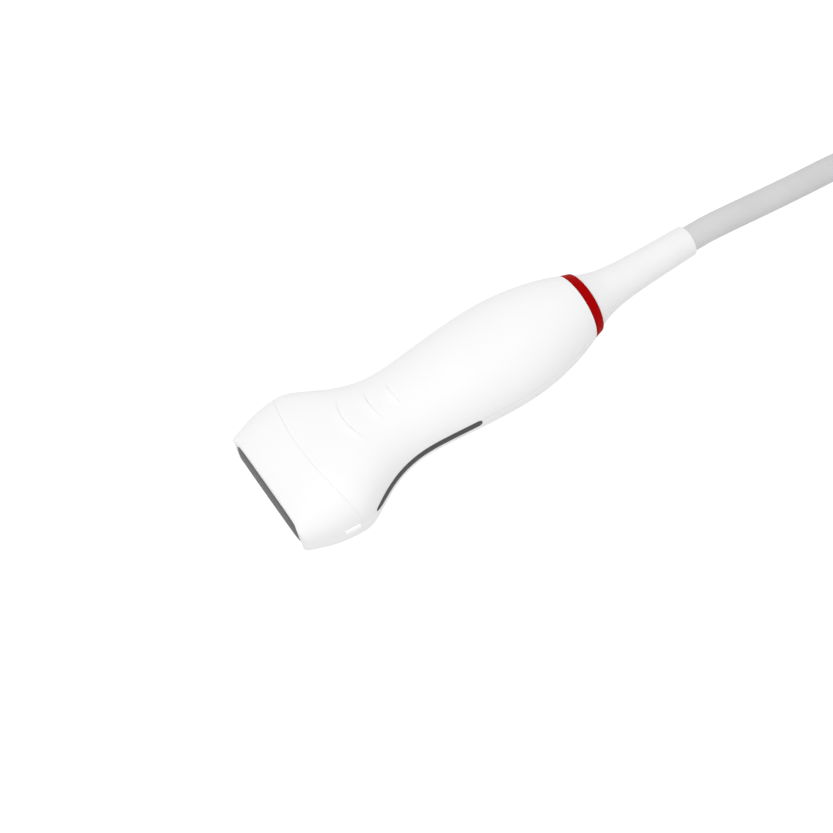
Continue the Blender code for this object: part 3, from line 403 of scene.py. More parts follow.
def rounded_corner(corner, before, after, radius, steps=5):
    """Points of an arc that rounds a corner of a profile, from one side to the other."""
    corner, before, after = Vector(corner), Vector(before), Vector(after)
    to_before = (before - corner).normalized()
    to_after = (after - corner).normalized()
    half = to_before.angle(to_after) / 2
    reach = radius / math.tan(half)
    centre = corner + (to_before + to_after).normalized() * radius / math.sin(half)
    start = corner + to_before * reach - centre
    end = corner + to_after * reach - centre
    turn = start.angle(end)
    points = []
    for i in range(steps + 1):
        share = i / steps
        blend = (math.sin((1 - share) * turn) * start + math.sin(share * turn) * end)
        points.append(tuple(centre + blend / math.sin(turn)))
    return points


def round_profile(points, radii):
    """Round the corners between a profile's two ends."""
    made = [points[0]]
    for before, corner, after, radius in zip(points, points[1:], points[2:], radii):
        made += rounded_corner(corner, before, after, radius)
    return made + [points[-1]]


# %% [markdown]
# ## The housing's form
# The housing is a loft of superellipses. Two curves along the probe give its
# half width and half thickness, and a power squares the sections near the
# lens and rounds them towards the tail. These are the same curves that the
# solids use, evaluated far more finely.

# %% Housing curves
HEAD_AT = mm(18.8)
NECK_AT = mm(49.0)
BULGE_AT = mm(85.0)
TAIL_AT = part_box("handle_upper")[1][0] - FACE_X + mm(0.15)
TAIL_RADIUS = (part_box("colour_ring")[1][2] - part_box("colour_ring")[0][2]) / 2
FACE_HALF_WIDTH = mm(23.4)
FACE_HALF_THICKNESS = mm(8.6)
HEAD_HALF_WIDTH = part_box("nosepiece")[1][1]
HEAD_HALF_THICKNESS = mm(13.6)
NECK_HALF_WIDTH = mm(16.4)
NECK_HALF_THICKNESS = mm(12.65)
BULGE_HALF_WIDTH = mm(18.95)
BULGE_HALF_THICKNESS = AXIS_Z - FLOOR_Z
HEAD_SQUARENESS = 2.8
GRIP_SQUARENESS = 2.05
GAP = mm(0.3)
WALL = mm(2.0)


def profile_curve(knots, steps=60):
    """Bezier runs through knots of (x, value, slope, lead in share, lead out share)."""
    along, values = [], []
    for (x0, v0, s0, _, out0), (x1, v1, s1, in1, _) in zip(knots, knots[1:]):
        span = x1 - x0
        ends = (
            Vector((x0, v0, 0.0)),
            Vector((x0 + out0 * span, v0 + s0 * out0 * span, 0.0)),
            Vector((x1 - in1 * span, v1 - s1 * in1 * span, 0.0)),
            Vector((x1, v1, 0.0)),
        )
        for point in interpolate_bezier(*ends, steps + 1):
            along.append(point.x)
            values.append(point.y)
    return np.array(along), np.array(values)


TAIL_SLOPE = -0.42
WIDTH_CURVE = profile_curve((
    (0.0, FACE_HALF_WIDTH, 0.34, 0.0, 0.27),
    (HEAD_AT, HEAD_HALF_WIDTH, 0.0, 0.43, 0.23),
    (NECK_AT, NECK_HALF_WIDTH, 0.0, 0.557, 0.23),
    (BULGE_AT, BULGE_HALF_WIDTH, 0.0, 0.40, 0.395),
    (TAIL_AT, TAIL_RADIUS, TAIL_SLOPE, 0.274, 0.0),
))
THICKNESS_CURVE = profile_curve((
    (0.0, FACE_HALF_THICKNESS, 0.64, 0.0, 0.20),
    (HEAD_AT, HEAD_HALF_THICKNESS, 0.0, 0.40, 0.31),
    (NECK_AT, NECK_HALF_THICKNESS, 0.0, 0.375, 0.333),
    (BULGE_AT + 0.28 * (TAIL_AT - BULGE_AT), BULGE_HALF_THICKNESS, 0.0, 0.38, 0.393),
    (TAIL_AT, TAIL_RADIUS, TAIL_SLOPE, 0.262, 0.0),
))


def half_width(x):
    return float(np.interp(x, *WIDTH_CURVE))


def half_thickness(x):
    return float(np.interp(x, *THICKNESS_CURVE))


def squareness(x):
    blend = smoothstep((x - HEAD_AT) / (NECK_AT - HEAD_AT))
    return HEAD_SQUARENESS + (GRIP_SQUARENESS - HEAD_SQUARENESS) * blend


def on_oval(half_y, half_z, power, theta):
    """A point of a superellipse; theta 0 is +Y and a quarter turn is +Z."""
    c, s = math.cos(theta), math.sin(theta)
    y = half_y * math.copysign(abs(c) ** (2 / power), c)
    z = half_z * math.copysign(abs(s) ** (2 / power), s)
    return y, z


def on_skin(x, theta, inset=0.0):
    """A point of the housing's surface, or of one a given wall inside it."""
    y, z = on_oval(half_width(x) - inset, half_thickness(x) - inset, squareness(x), theta)
    return x, y, z


def side_at(x, z):
    """How far out the narrow side lies at a height on it."""
    power = squareness(x)
    share = min(abs(z) / half_thickness(x), 0.999)
    return half_width(x) * (1 - share ** power) ** (1 / power)


SEAM_AT = mm(13.9)
SEAM_BOW = mm(3.9)


def on_seam(theta, inset=0.0, behind=0.0):
    """A point on the bowed parting line between nosepiece and handle."""
    x = SEAM_AT
    for _ in range(10):
        y = on_skin(x, theta, inset)[1]
        x = SEAM_AT + SEAM_BOW * (y / HEAD_HALF_WIDTH) ** 2 + behind
    return on_skin(x, theta, inset)


TURNS = [2 * math.pi * i / 192 for i in range(192)]
HALF_TURNS = [math.pi * i / 96 for i in range(97)]
print("half width at head and neck:", round(half_width(HEAD_AT), 4), round(half_width(NECK_AT), 4))


# %% [markdown]
# ## Lens
# The lens is cast silicone. Its stem fills a slot in the nosepiece, and a
# brim covers most of the face in a shallow recess. The brim is crowned across
# its width, because that curve focuses the beam. It is a stack of superellipse
# loops: a flange behind the wall, the stem, the brim with a rounded edge and
# the crown.

# %% Lens
LENS_HALF_LENGTH = mm(19.5)
LENS_HALF_WIDTH = mm(4.5)
LENS_SQUARENESS = 5.0
FLANGE_OVERHANG = mm(1.4)
FLANGE_SQUARENESS = 3.0
BRIM_HALF_LENGTH = mm(19.7)
BRIM_HALF_WIDTH = mm(5.6)
BRIM_SQUARENESS = 4.0
BRIM_DEPTH = mm(0.6)
LENS_STEP = mm(0.2)
LENS_EDGE = mm(0.3)
END_FALL = mm(2.4)
CROWN_LOOPS = 24
CROWN_END = 0.985
NOSE_WALL = mm(1.8)
FLANGE_FRONT = NOSE_WALL + GAP
FLANGE_BACK = FLANGE_FRONT + mm(1.0)


def lens_loop(x, grow, power=LENS_SQUARENESS):
    """The stem's outline, or the flange's, at a place along the probe."""
    return [(x, *on_oval(LENS_HALF_LENGTH + grow, LENS_HALF_WIDTH + grow, power, t))
            for t in TURNS]


def brim_loop(x, grow):
    """The brim's outline at a place along the probe."""
    return [(x, *on_oval(BRIM_HALF_LENGTH + grow, BRIM_HALF_WIDTH + grow, BRIM_SQUARENESS, t))
            for t in TURNS]


lens_loops = [lens_loop(FLANGE_BACK, FLANGE_OVERHANG, FLANGE_SQUARENESS),
              lens_loop(FLANGE_FRONT, FLANGE_OVERHANG, FLANGE_SQUARENESS),
              lens_loop(FLANGE_FRONT, 0.0), lens_loop(BRIM_DEPTH, 0.0),
              brim_loop(BRIM_DEPTH, 0.0), brim_loop(LENS_EDGE - LENS_STEP, 0.0)]
for back, inset in quarter_round(6)[1:-1]:
    lens_loops.append(brim_loop(LENS_EDGE * back - LENS_STEP, -LENS_EDGE * inset))
edge_share = LENS_EDGE / BRIM_HALF_WIDTH
for i in range(1, CROWN_LOOPS + 1):
    share = edge_share + (CROWN_END - edge_share) * i / CROWN_LOOPS
    rise = (LENS_CROWN - LENS_STEP) * (1 - (1 - share) ** 2)
    lens_loops.append([(-LENS_STEP - rise, *on_oval(BRIM_HALF_LENGTH - share * END_FALL,
                                                    BRIM_HALF_WIDTH * (1 - share),
                                                    BRIM_SQUARENESS, t)) for t in TURNS])
lens = finish_mesh("lens_crowned", to_row(skin_loops(lens_loops)), lens_silicone,
                   "lens_rubber", "acoustic_lens", sharp=50)
print("lens faces:", len(lens.data.polygons))


# %% [markdown]
# ## Nosepiece
# One white moulding: the rim around the lens, which rises beside the lens's two
# ends and hides them from the side, a small round on its edge, the flaring
# skin, and a spigot that slides into the handle with a groove for the seal. It
# is a ring of loops that runs out over the skin and back inside. The parting
# line is a hairline in the photograph, so its edges are hardly rounded and the
# two mouldings nearly touch.

# %% Nosepiece
FACE_ROUND = mm(0.5)
RIM_ROUND = mm(0.12)
EDGE_ROUND = mm(0.03)
SEAM_HALF = mm(0.012)
SPIGOT_LENGTH = mm(4.0)
SPIGOT_WALL = mm(1.8)
CHEEK_RISE = mm(0.6)
CHEEK_FROM = mm(17.5)
CHEEK_TO = mm(20.5)
CORNER_FALL = mm(1.0)
CHEEK_FADE = 14
RECESS_LOOPS = 3
SKIN_LOOPS = 40


def flat_loop(x, inset):
    """The front face's outline at a place along the probe."""
    return [(x, *on_skin(0.0, t, inset)[1:]) for t in TURNS]


def seam_loop(inset, behind):
    return [on_seam(t, inset, behind) for t in TURNS]


def nose_skin_loop(share):
    """The outer surface, part of the way from the front round to the seam."""
    loop = []
    for t in TURNS:
        end = on_seam(t, behind=-SEAM_HALF - EDGE_ROUND)[0]
        loop.append(on_skin(FACE_ROUND + share * (end - FACE_ROUND), t))
    return loop


def cheek_rise(y):
    """How far the face stands forward beside the lens's ends, before it rounds off."""
    rise = smoothstep((abs(y) - CHEEK_FROM) / (CHEEK_TO - CHEEK_FROM))
    past = max(abs(y) - CHEEK_TO, 0.0) / (FACE_HALF_WIDTH - CHEEK_TO)
    return CHEEK_RISE * rise - CORNER_FALL * past * past


def cheek_share(i):
    """The cheeks shape the face's own loops and fade along the skin behind it."""
    if i < RECESS_LOOPS:
        return 0.0
    return max(1 - max(i - FRONT_LOOPS, 0) / CHEEK_FADE, 0.0)


nose_loops = [lens_loop(NOSE_WALL, GAP), lens_loop(BRIM_DEPTH + GAP, GAP),
              brim_loop(BRIM_DEPTH + GAP, GAP), brim_loop(RIM_ROUND, GAP),
              brim_loop(0.3 * RIM_ROUND, GAP + 0.3 * RIM_ROUND),
              brim_loop(0.0, GAP + RIM_ROUND),
              flat_loop(0.0, FACE_ROUND)]
for i, (inset, back) in enumerate(quarter_round(9)[1:-1]):
    x, inset = FACE_ROUND * back, FACE_ROUND * inset
    nose_loops.append(flat_loop(x, inset) if i < 4 else [on_skin(x, t, inset) for t in TURNS])
FRONT_LOOPS = len(nose_loops)
nose_loops += [nose_skin_loop(i / SKIN_LOOPS) for i in range(SKIN_LOOPS + 1)]
nose_loops = [[(x - cheek_rise(y) * cheek_share(i), y, z) for x, y, z in loop]
              for i, loop in enumerate(nose_loops)]
for ahead, inset in quarter_round(3)[1:]:
    nose_loops.append(seam_loop(EDGE_ROUND * inset, -SEAM_HALF - EDGE_ROUND * ahead))
SPIGOT_INSET = WALL + GAP
GROOVE_INSET = SPIGOT_INSET + mm(1.1)
GROOVE_FROM = mm(1.4)
GROOVE_TO = mm(3.1)
nose_loops += [
    seam_loop(SPIGOT_INSET, -SEAM_HALF),
    seam_loop(SPIGOT_INSET, GROOVE_FROM), seam_loop(GROOVE_INSET, GROOVE_FROM),
    seam_loop(GROOVE_INSET, GROOVE_TO), seam_loop(SPIGOT_INSET, GROOVE_TO),
    seam_loop(SPIGOT_INSET, SPIGOT_LENGTH), seam_loop(SPIGOT_INSET + SPIGOT_WALL, SPIGOT_LENGTH),
    seam_loop(SPIGOT_INSET + SPIGOT_WALL, -2 * NOSE_WALL),
    [on_skin(NOSE_WALL + 2 * FACE_ROUND, t, WALL) for t in TURNS],
    flat_loop(NOSE_WALL, WALL),
]
nose = finish_mesh("nosepiece_moulding", to_row(skin_loops(nose_loops, ring=True)), housing_abs,
                   "white_plastic", "nosepiece", sharp=50)
print("nosepiece faces:", len(nose.data.polygons))


# %% [markdown]
# ## Orientation marker
# A raised bar on one narrow side tells the operator which end of the image is
# which. It sits in a shallow pocket that a Boolean cuts in the nosepiece. Its
# top is flat with a fine chamfer, so that it reads as a crisp bar. It is the
# housing's white plastic, with its colour painted a shade lighter as a painted highlight.

# %% Marker and its pocket
MARKER_BACK = SEAM_AT + SEAM_BOW - mm(0.5)
MARKER_LENGTH = mm(5.5)
MARKER_HALF = mm(0.9)
MARKER_PROUD = mm(0.4)
MARKER_DEPTH = mm(0.6)
MARKER_CHAMFER = mm(0.12)


def marker_shape(grow, proud):
    """A bar with a chamfered flat top that follows the narrow side."""
    full = MARKER_LENGTH + 2 * grow
    stops = [0.0, MARKER_CHAMFER] + [full * i / 12 for i in range(1, 12)]
    stops += [full - MARKER_CHAMFER, full]
    loops = []
    for ahead in stops:
        x = MARKER_BACK + grow - ahead
        at_end = ahead in (0.0, full)
        half = MARKER_HALF + grow - (MARKER_CHAMFER if at_end else 0.0)
        top = half_width(x) + proud - (MARKER_CHAMFER if at_end else 0.0)
        deep = half_width(x) - MARKER_DEPTH - grow
        loops.append([(x, -top + MARKER_CHAMFER, -half), (x, -top, MARKER_CHAMFER - half),
                      (x, -top, half - MARKER_CHAMFER), (x, -top + MARKER_CHAMFER, half),
                      (x, -deep, half), (x, -deep, -half)])
    return to_row(skin_loops(loops))


def cut(piece, bm):
    """Cut a shape from a finished piece and keep the result as its mesh."""
    tool = new_object(piece.name + "_cutter", to_mesh(piece.name + "_cutter", bm))
    change = piece.modifiers.new("cut", "BOOLEAN")
    change.object = tool
    change.solver = "EXACT"
    keep_result(piece, change)
    bpy.data.objects.remove(tool, do_unlink=True)


MARKER_FIT = mm(0.04)
cut(nose, marker_shape(MARKER_FIT, mm(1.5)))
marker = finish_mesh("marker_bar", marker_shape(0.0, MARKER_PROUD), marker_lit_abs,
                     "marker_plastic", "orientation_marker")
print("marker faces:", len(marker.data.polygons))


# %% [markdown]
# ## Handle
# Two thin shells meet on the plane through the narrow sides. Each is a grid:
# the outer skin, the edge where the shells meet, and the inner wall. The grip
# ribs are a height field on that grid, because they blend into the surface
# with a long ramp on the lens side and drop in a step on the cable side.

# %% Handle shells
GRIP_RIBS = (
    (mm(30.0), mm(9.8), mm(2.6)),
    (mm(39.6), mm(6.6), mm(1.0)),
    (mm(47.5), mm(4.6), mm(0.5)),
)
RIB_HEIGHT = mm(0.7)
RIB_RAMP = mm(3.2)
RIB_STEP = mm(0.35)
END_WALL = mm(2.1)
TAIL_BORE = mm(8.7)
SHELL_EDGE = mm(0.12)
RIBS_FROM = mm(8.0)
RIBS_TO = mm(36.0)
INNER_LOOPS = 40


def rib_height(x, y):
    """How far the grip ribs lift the broad face at a place on it."""
    lift = 0.0
    for middle, half_length, bow in GRIP_RIBS:
        place = abs(y) / half_length
        if place >= 1:
            continue
        ahead = middle + bow * place * place - x
        end = (1 - place ** 2) ** 1.2
        if 0 <= ahead < RIB_RAMP:
            lift += RIB_HEIGHT * end * (1 - ahead / RIB_RAMP) ** 1.6
        elif -RIB_STEP < ahead < 0:
            lift += RIB_HEIGHT * end * smoothstep(1 + ahead / RIB_STEP)
    return lift


def shell_stations():
    """Places behind the seam, close together where the ribs are."""
    coarse = list(np.arange(0.0, RIBS_FROM, mm(0.5)))
    fine = list(np.arange(RIBS_FROM, RIBS_TO, mm(0.16)))
    rest = list(np.linspace(RIBS_TO, TAIL_AT - GAP / 2 - SEAM_AT - SEAM_BOW, 70))
    return coarse + fine + rest


def handle_shell(side):
    """One half of the handle; side is +1 for the upper and -1 for the lower."""
    end = TAIL_AT - GAP / 2
    full = end - SEAM_AT - SEAM_BOW
    outer = []
    for inset, back in quarter_round(3):
        outer.append([on_seam(t, EDGE_ROUND * inset, SEAM_HALF + EDGE_ROUND * back)
                      for t in HALF_TURNS])
    for far in shell_stations()[1:]:
        row = []
        for t in HALF_TURNS:
            start = on_seam(t, behind=SEAM_HALF + EDGE_ROUND)[0]
            x = start + (end - start) * far / full
            point = Vector(on_skin(x, t))
            point.z += rib_height(x, point.y) * math.sin(t) ** 2
            row.append(tuple(point))
        outer.append(row)
    inner_end = TAIL_AT - END_WALL
    inner = []
    for i in range(INNER_LOOPS + 1):
        row = []
        for t in HALF_TURNS:
            start = on_seam(t, WALL, GAP / 2)[0]
            row.append(on_skin(start + (inner_end - start) * i / INNER_LOOPS, t, WALL))
        inner.append(row)
    for x in (inner_end, end):
        inner.append([(x, TAIL_BORE * math.cos(t), TAIL_BORE * math.sin(t)) for t in HALF_TURNS])
    bm = bmesh.new()

    def place(row):
        made = []
        for k, (x, y, z) in enumerate(row):
            lip = SHELL_EDGE if k in (0, len(row) - 1) else 0.0
            made.append(bm.verts.new((x, y - math.copysign(lip, y), side * max(z, mm(0.03)))))
        return made

    outer = [place(row) for row in outer]
    inner = [place(row) for row in inner]
    for grid in (outer, inner):
        for near, far in zip(grid, grid[1:]):
            for j in range(len(near) - 1):
                bm.faces.new((near[j], near[j + 1], far[j + 1], far[j]))
    for over, under in ((outer[0], inner[0]), (outer[-1], inner[-1])):
        for j in range(len(over) - 1):
            bm.faces.new((over[j], over[j + 1], under[j + 1], under[j]))
    for j in (0, len(HALF_TURNS) - 1):
        bm.faces.new([row[j] for row in outer] + [row[j] for row in reversed(inner)])
    return to_row(bm)


# %% [markdown]
# ## Grip strips
# A dark elastomer strip lies over the parting line on each narrow side, a
# little proud of the shells and rounded across. The photograph shows it just
# below the middle of the side. It starts as a point near the head, keeps its
# width along the waist and ends round under the palm. The recess is cut with
# the same shape, grown by the fit between the two.

# %% Grip strips
STRIP_START = mm(24.0)
STRIP_END = mm(68.0)
STRIP_HALF = mm(1.4)
STRIP_TAPER = mm(6.0)
STRIP_THICKNESS = mm(1.0)
STRIP_CROWN = mm(0.4)
STRIP_DROP = mm(0.8)
STRIP_FIT = mm(0.06)


def strip_shape(edge, grow, proud, crown, deep, steps=90):
    """The strip on one narrow side; edge is +1 or -1 in Y."""
    start, end = STRIP_START - grow, STRIP_END + grow
    widest = STRIP_HALF + grow
    loops = []
    for i in range(steps + 1):
        share = 0.5 - 0.5 * math.cos(math.pi * i / steps)
        x = start + (end - start) * share
        lead = min((x - start) / STRIP_TAPER, 1.0)
        trail = min((end - x) / widest, 1.0)
        half = widest * max(math.sqrt(lead * (2 - lead)) * math.sqrt(trail * (2 - trail)), 0.05)
        loop = []
        for k in range(13):
            across = math.sin(math.pi / 2 * (2 * k / 12 - 1))
            out = proud + crown * math.sqrt(max(1 - across ** 2, 0.0)) * half / widest
            z = half * across - STRIP_DROP
            loop.append((x, edge * (side_at(x, abs(z)) + out), z))
        loops.append(loop + [(x, edge * (half_width(x) - deep), z - STRIP_DROP)
                             for z in (half, -half)])
    return to_row(skin_loops(loops))


for word, side in (("upper", 1), ("lower", -1)):
    shell = finish_mesh("shell_" + word, handle_shell(side), housing_abs,
                        "white_plastic", "handle_" + word, sharp=60)
    for edge in (-1, 1):
        cut(shell, strip_shape(edge, STRIP_FIT, mm(1.0), 0.0, STRIP_THICKNESS + GAP))
    print(shell.name, "faces:", len(shell.data.polygons))
for flank, edge in (("near", -1), ("far", 1)):
    finish_mesh("strip_" + flank, strip_shape(edge, 0.0, 0.0, STRIP_CROWN, STRIP_THICKNESS),
                strip_elastomer, "strip_rubber", "grip_strip_" + flank)


# %% [markdown]
# ## Colour ring and boot
# The ring marks the probe's type. Its edges are rounded so that they catch
# the light. The boot is one soft moulding: it flares where it leaves the
# ring, tapers along its length, and ends in a rounded lip on the cable. Both
# are profiles turned about the probe's axis.

# %% Ring and boot
RING_START = TAIL_AT + GAP / 2
RING_END = RING_START + mm(3.3)
RING_BORE = mm(8.7)
RING_TAPER = mm(1.0)
ring_points = [(RING_START, RING_BORE), (RING_START, TAIL_RADIUS),
               (RING_END, TAIL_RADIUS - RING_TAPER), (RING_END, RING_BORE)]
ring_profile = round_profile(ring_points, (mm(0.25), mm(0.3)))
finish_mesh("ring_red", to_row(turned(ring_profile, ring=True, sides=160)), ring_asa,
            "red_plastic", "colour_ring", sharp=50)

BOOT_START = RING_END + GAP
BOOT_END = BOOT_MOUTH_X - FACE_X
BOOT_BASE = mm(10.2)
BOOT_TIP = mm(5.4)
BOOT_LIP = mm(0.7)
BOOT_WAIST_SHARE = 0.22
BOOT_FLARE_SHARE = 0.19
BOOT_NECK = mm(8.4)
BOOT_FLANGE = mm(9.7)
BOOT_FLANGE_AT = mm(111.7)
CABLE_RADIUS = mm(4.5)


def boot_radius(share):
    """The boot flares where it leaves the ring, then tapers to the cable."""
    waist = BOOT_TIP + BOOT_WAIST_SHARE * (BOOT_BASE - BOOT_TIP)
    flare = (BOOT_BASE - waist) * math.exp(-share / BOOT_FLARE_SHARE)
    return BOOT_TIP + (waist - BOOT_TIP) * (1 - share) + flare * (1 - share)


flange_end = TAIL_AT - END_WALL - GAP
boot_profile = [(BOOT_FLANGE_AT, BOOT_FLANGE), (flange_end, BOOT_FLANGE),
                (flange_end, BOOT_NECK), (BOOT_START, BOOT_NECK),
                (BOOT_START, boot_radius(0.0) - mm(0.15))]
for i in range(61):
    share = 0.004 + 0.996 * (i / 60) ** 1.2
    x = BOOT_START + share * (BOOT_END - BOOT_LIP - BOOT_START)
    boot_profile.append((x, boot_radius(share)))
lip_radius = boot_profile[-1][1]
for ahead, inset in quarter_round(8)[1:]:
    boot_profile.append((BOOT_END - BOOT_LIP * ahead, lip_radius - BOOT_LIP * inset))
finish_mesh("boot_moulding", to_row(turned(boot_profile, sides=128)), boot_elastomer,
            "boot_rubber", "strain_relief", sharp=50)
print("boot points:", len(boot_profile))


# %% [markdown]
# ## Cable
# About 1.8 m of cable leaves the boot, sinks to the table and runs out of the
# picture. What the picture does not show is folded into a hank for storage,
# in line with the probe and outside the view. Each lap lies on the one below,
# and the cable climbs to the next level on the way back, so that it never
# meets itself. The free stretches are listed points; the laps are
# worked out by a loop.

# %% Cable route
CABLE_DIAMETER = 2 * CABLE_RADIUS
HANK_BEND = mm(27.5)
HANK_LAPS = 3
HANK_START_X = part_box("cable_hank")[0][0] + HANK_BEND + CABLE_RADIUS
HANK_END_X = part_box("cable_hank")[1][0] - HANK_BEND - CABLE_RADIUS
# ahead of the boot's mouth, sideways, and up from the surface
LEAD_ROUTE = (
    (mm(-0.8), 0.0, mm(14.8)),
    (mm(8.0), 0.0, mm(14.5)),
    (mm(18.0), 0.0, mm(13.1)),
    (mm(30.0), 0.0, mm(11.1)),
    (mm(42.0), 0.0, mm(9.2)),
    (mm(53.0), 0.0, mm(7.7)),
    (mm(62.0), 0.0, mm(6.5)),
    (mm(70.0), mm(-0.5), mm(5.3)),
    (mm(76.2), mm(-2.0), mm(4.6)),
    (mm(84.0), mm(-5.36), mm(4.5)),
    (mm(90.0), mm(-9.6), mm(4.5)),
    (mm(94.2), mm(-13.75), mm(4.5)),
    (mm(98.4), mm(-17.9), mm(4.5)),
    (mm(104.4), mm(-22.1), mm(4.5)),
    (mm(111.4), mm(-25.3), mm(4.5)),
    (mm(118.4), mm(-27.05), mm(4.5)),
    (mm(124.4), mm(-27.5), mm(4.5)),
    (mm(134.0), mm(-27.5), mm(4.5)),
)
# ahead of the far end of the hank's straight run
TAIL_ROUTE = (
    (mm(6.0), mm(-27.5), mm(31.5)),
    (mm(14.0), mm(-27.0), mm(31.1)),
    (mm(22.0), mm(-25.4), mm(29.9)),
    (mm(27.7), mm(-23.6), mm(28.6)),
    (mm(37.0), mm(-19.0), mm(25.2)),
    (mm(44.0), mm(-13.7), mm(21.2)),
    (mm(51.0), mm(-8.5), mm(17.3)),
    (mm(58.0), mm(-4.8), mm(14.6)),
    (mm(66.0), mm(-2.1), mm(12.6)),
    (mm(74.0), mm(-0.5), mm(11.4)),
    (mm(80.0), 0.0, mm(11.0)),
    (mm(85.1), 0.0, mm(11.0)),
)


def hank_run(start_x, end_x, y, level, rise=0.0, steps=9):
    """A straight run of the hank that may climb to the next level."""
    points = []
    for i in range(steps):
        share = i / steps
        points.append((start_x + (end_x - start_x) * share, y, level + rise * smoothstep(share)))
    return points


def hank_turn(centre_x, start, level, steps=16):
    """Half a turn, anticlockwise from above."""
    turns = [start + math.pi * i / steps for i in range(steps)]
    return [(centre_x + HANK_BEND * math.cos(t), HANK_BEND * math.sin(t), level) for t in turns]


lead_points = [(BOOT_MOUTH_X + x, y, z) for x, y, z in LEAD_ROUTE]
hank_points = []
run_start = lead_points[-1][0] + mm(14)
for lap in range(HANK_LAPS):
    level = CABLE_RADIUS + lap * CABLE_DIAMETER
    hank_points += hank_run(run_start, HANK_END_X, -HANK_BEND, level)
    hank_points += hank_turn(HANK_END_X, -math.pi / 2, level)
    hank_points += hank_run(HANK_END_X, HANK_START_X, HANK_BEND, level, CABLE_DIAMETER)
    hank_points += hank_turn(HANK_START_X, math.pi / 2, level + CABLE_DIAMETER)
    run_start = HANK_START_X
top_level = CABLE_RADIUS + HANK_LAPS * CABLE_DIAMETER
hank_points += hank_run(HANK_START_X, HANK_END_X, -HANK_BEND, top_level)
tail_points = [(HANK_END_X + x, y, z) for x, y, z in TAIL_ROUTE]
route = [(x, y, FLOOR_Z + z) for x, y, z in lead_points + hank_points + tail_points]


def smooth_route(points, spacing):
    """Points at even steps along a Catmull-Rom curve through a route, and its length."""
    spots = [np.array(p) for p in points]
    spots = [2 * spots[0] - spots[1]] + spots + [2 * spots[-1] - spots[-2]]
    fine = []
    for a, b, c, d in zip(spots, spots[1:], spots[2:], spots[3:]):
        for t in np.linspace(0, 1, 8, endpoint=False):
            fine.append(0.5 * (2 * b + (c - a) * t + (2 * a - 5 * b + 4 * c - d) * t ** 2
                               + (3 * b - a - 3 * c + d) * t ** 3))
    fine.append(spots[-2])
    fine = np.array(fine)
    far = np.concatenate([[0.0], np.cumsum(np.linalg.norm(np.diff(fine, axis=0), axis=1))])
    stops = np.linspace(0, far[-1], max(int(round(far[-1] / spacing)), 1) + 1)
    return np.stack([np.interp(stops, far, fine[:, i]) for i in range(3)], axis=1), far[-1]


def over_strap(point):
    """Lift a lap where the strap passes under it, and press the laps together there."""
    x, y, z = point
    away = abs(x - (tie_low[0] + tie_high[0]) / 2)
    if y > CABLE_RADIUS - HANK_BEND or away > STRAP_REACH:
        return (x, y, z)
    lap = round((z - FLOOR_Z - CABLE_RADIUS) / CABLE_DIAMETER)
    share = (STRAP_REACH - away) / (STRAP_REACH - STRAP_FLAT)
    return (x, y, z + (TIE_THICKNESS - lap * LAP_SQUEEZE) * smoothstep(share))


# %% Cable
tie_low, tie_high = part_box("cable_tie")
TIE_THICKNESS = mm(0.75)
TIE_END = mm(0.25)
LAP_SQUEEZE = mm(0.117)
STRAP_REACH = mm(34)
STRAP_FLAT = mm(8)
cable_points, CABLE_LENGTH = smooth_route(route, mm(4.0))
cable_points = [over_strap(point) for point in cable_points]
curve = bpy.data.curves.new("cable_jacket", "CURVE")
curve.dimensions = "3D"
curve.bevel_depth = CABLE_RADIUS
curve.bevel_resolution = 6
curve.use_fill_caps = True
spline = curve.splines.new("POLY")
spline.points.add(len(cable_points) - 1)
for spot, point in zip(spline.points, cable_points):
    spot.co = (*point, 1.0)
spline.use_smooth = True
cable = new_object("cable_jacket", curve)
adopt(cable, jacket_pvc, "cable_jacket", "cable", "cable_hank", "cable_end")
print("cable length", round(CABLE_LENGTH, 3), "m in", len(cable_points), "points")


# %% [markdown]
# ## Tie
# A hook-and-loop strap holds the hank. It is a thin band with round corners
# that passes under the lowest lap; its woven back is a fine bump, and its
# free end lies on top of the loop.

# %% Tie
def woven_strap():
    """Nylon webbing: dark, dull, with a fine over-and-under weave."""
    made, tree, shader = new_material("nylon_hook_and_loop", Roughness=0.75, Sheen_Weight=0.3)
    across = object_pattern(tree, "ShaderNodeTexWave", mm(4.0), Distortion=0.4)
    across.bands_direction = "X"
    along = object_pattern(tree, "ShaderNodeTexWave", mm(4.0), Distortion=0.4)
    along.bands_direction = "Z"
    weave = add_node(tree, "ShaderNodeMath", {0: across.outputs["Fac"], 1: along.outputs["Fac"]},
                     operation="MULTIPLY")
    paint(tree, shader, weave.outputs[0], "#2A2B2F", "#45464B")
    bumped(tree, shader, weave.outputs[0], mm(0.12))
    return made


def rounded_outline(width, height, corner, middle, steps=8):
    """A rectangle with round corners, as a closed list of points."""
    points = []
    for turn, (sx, sy) in enumerate(((1, 1), (-1, 1), (-1, -1), (1, -1))):
        cx = middle[0] + sx * (width / 2 - corner)
        cy = middle[1] + sy * (height / 2 - corner)
        for i in range(steps + 1):
            angle = (turn + i / steps) * math.pi / 2
            points.append((cx + corner * math.cos(angle), cy + corner * math.sin(angle)))
    return points


def tube_along(places, width, height, corner, middle):
    """A ring of outlines; each place is one's position along X and its inset."""
    loops = []
    for x, inset in places:
        outline = rounded_outline(width - 2 * inset, height - 2 * inset, corner - inset, middle)
        loops.append([(x, y, z) for y, z in outline])
    return skin_loops(loops, ring=True)


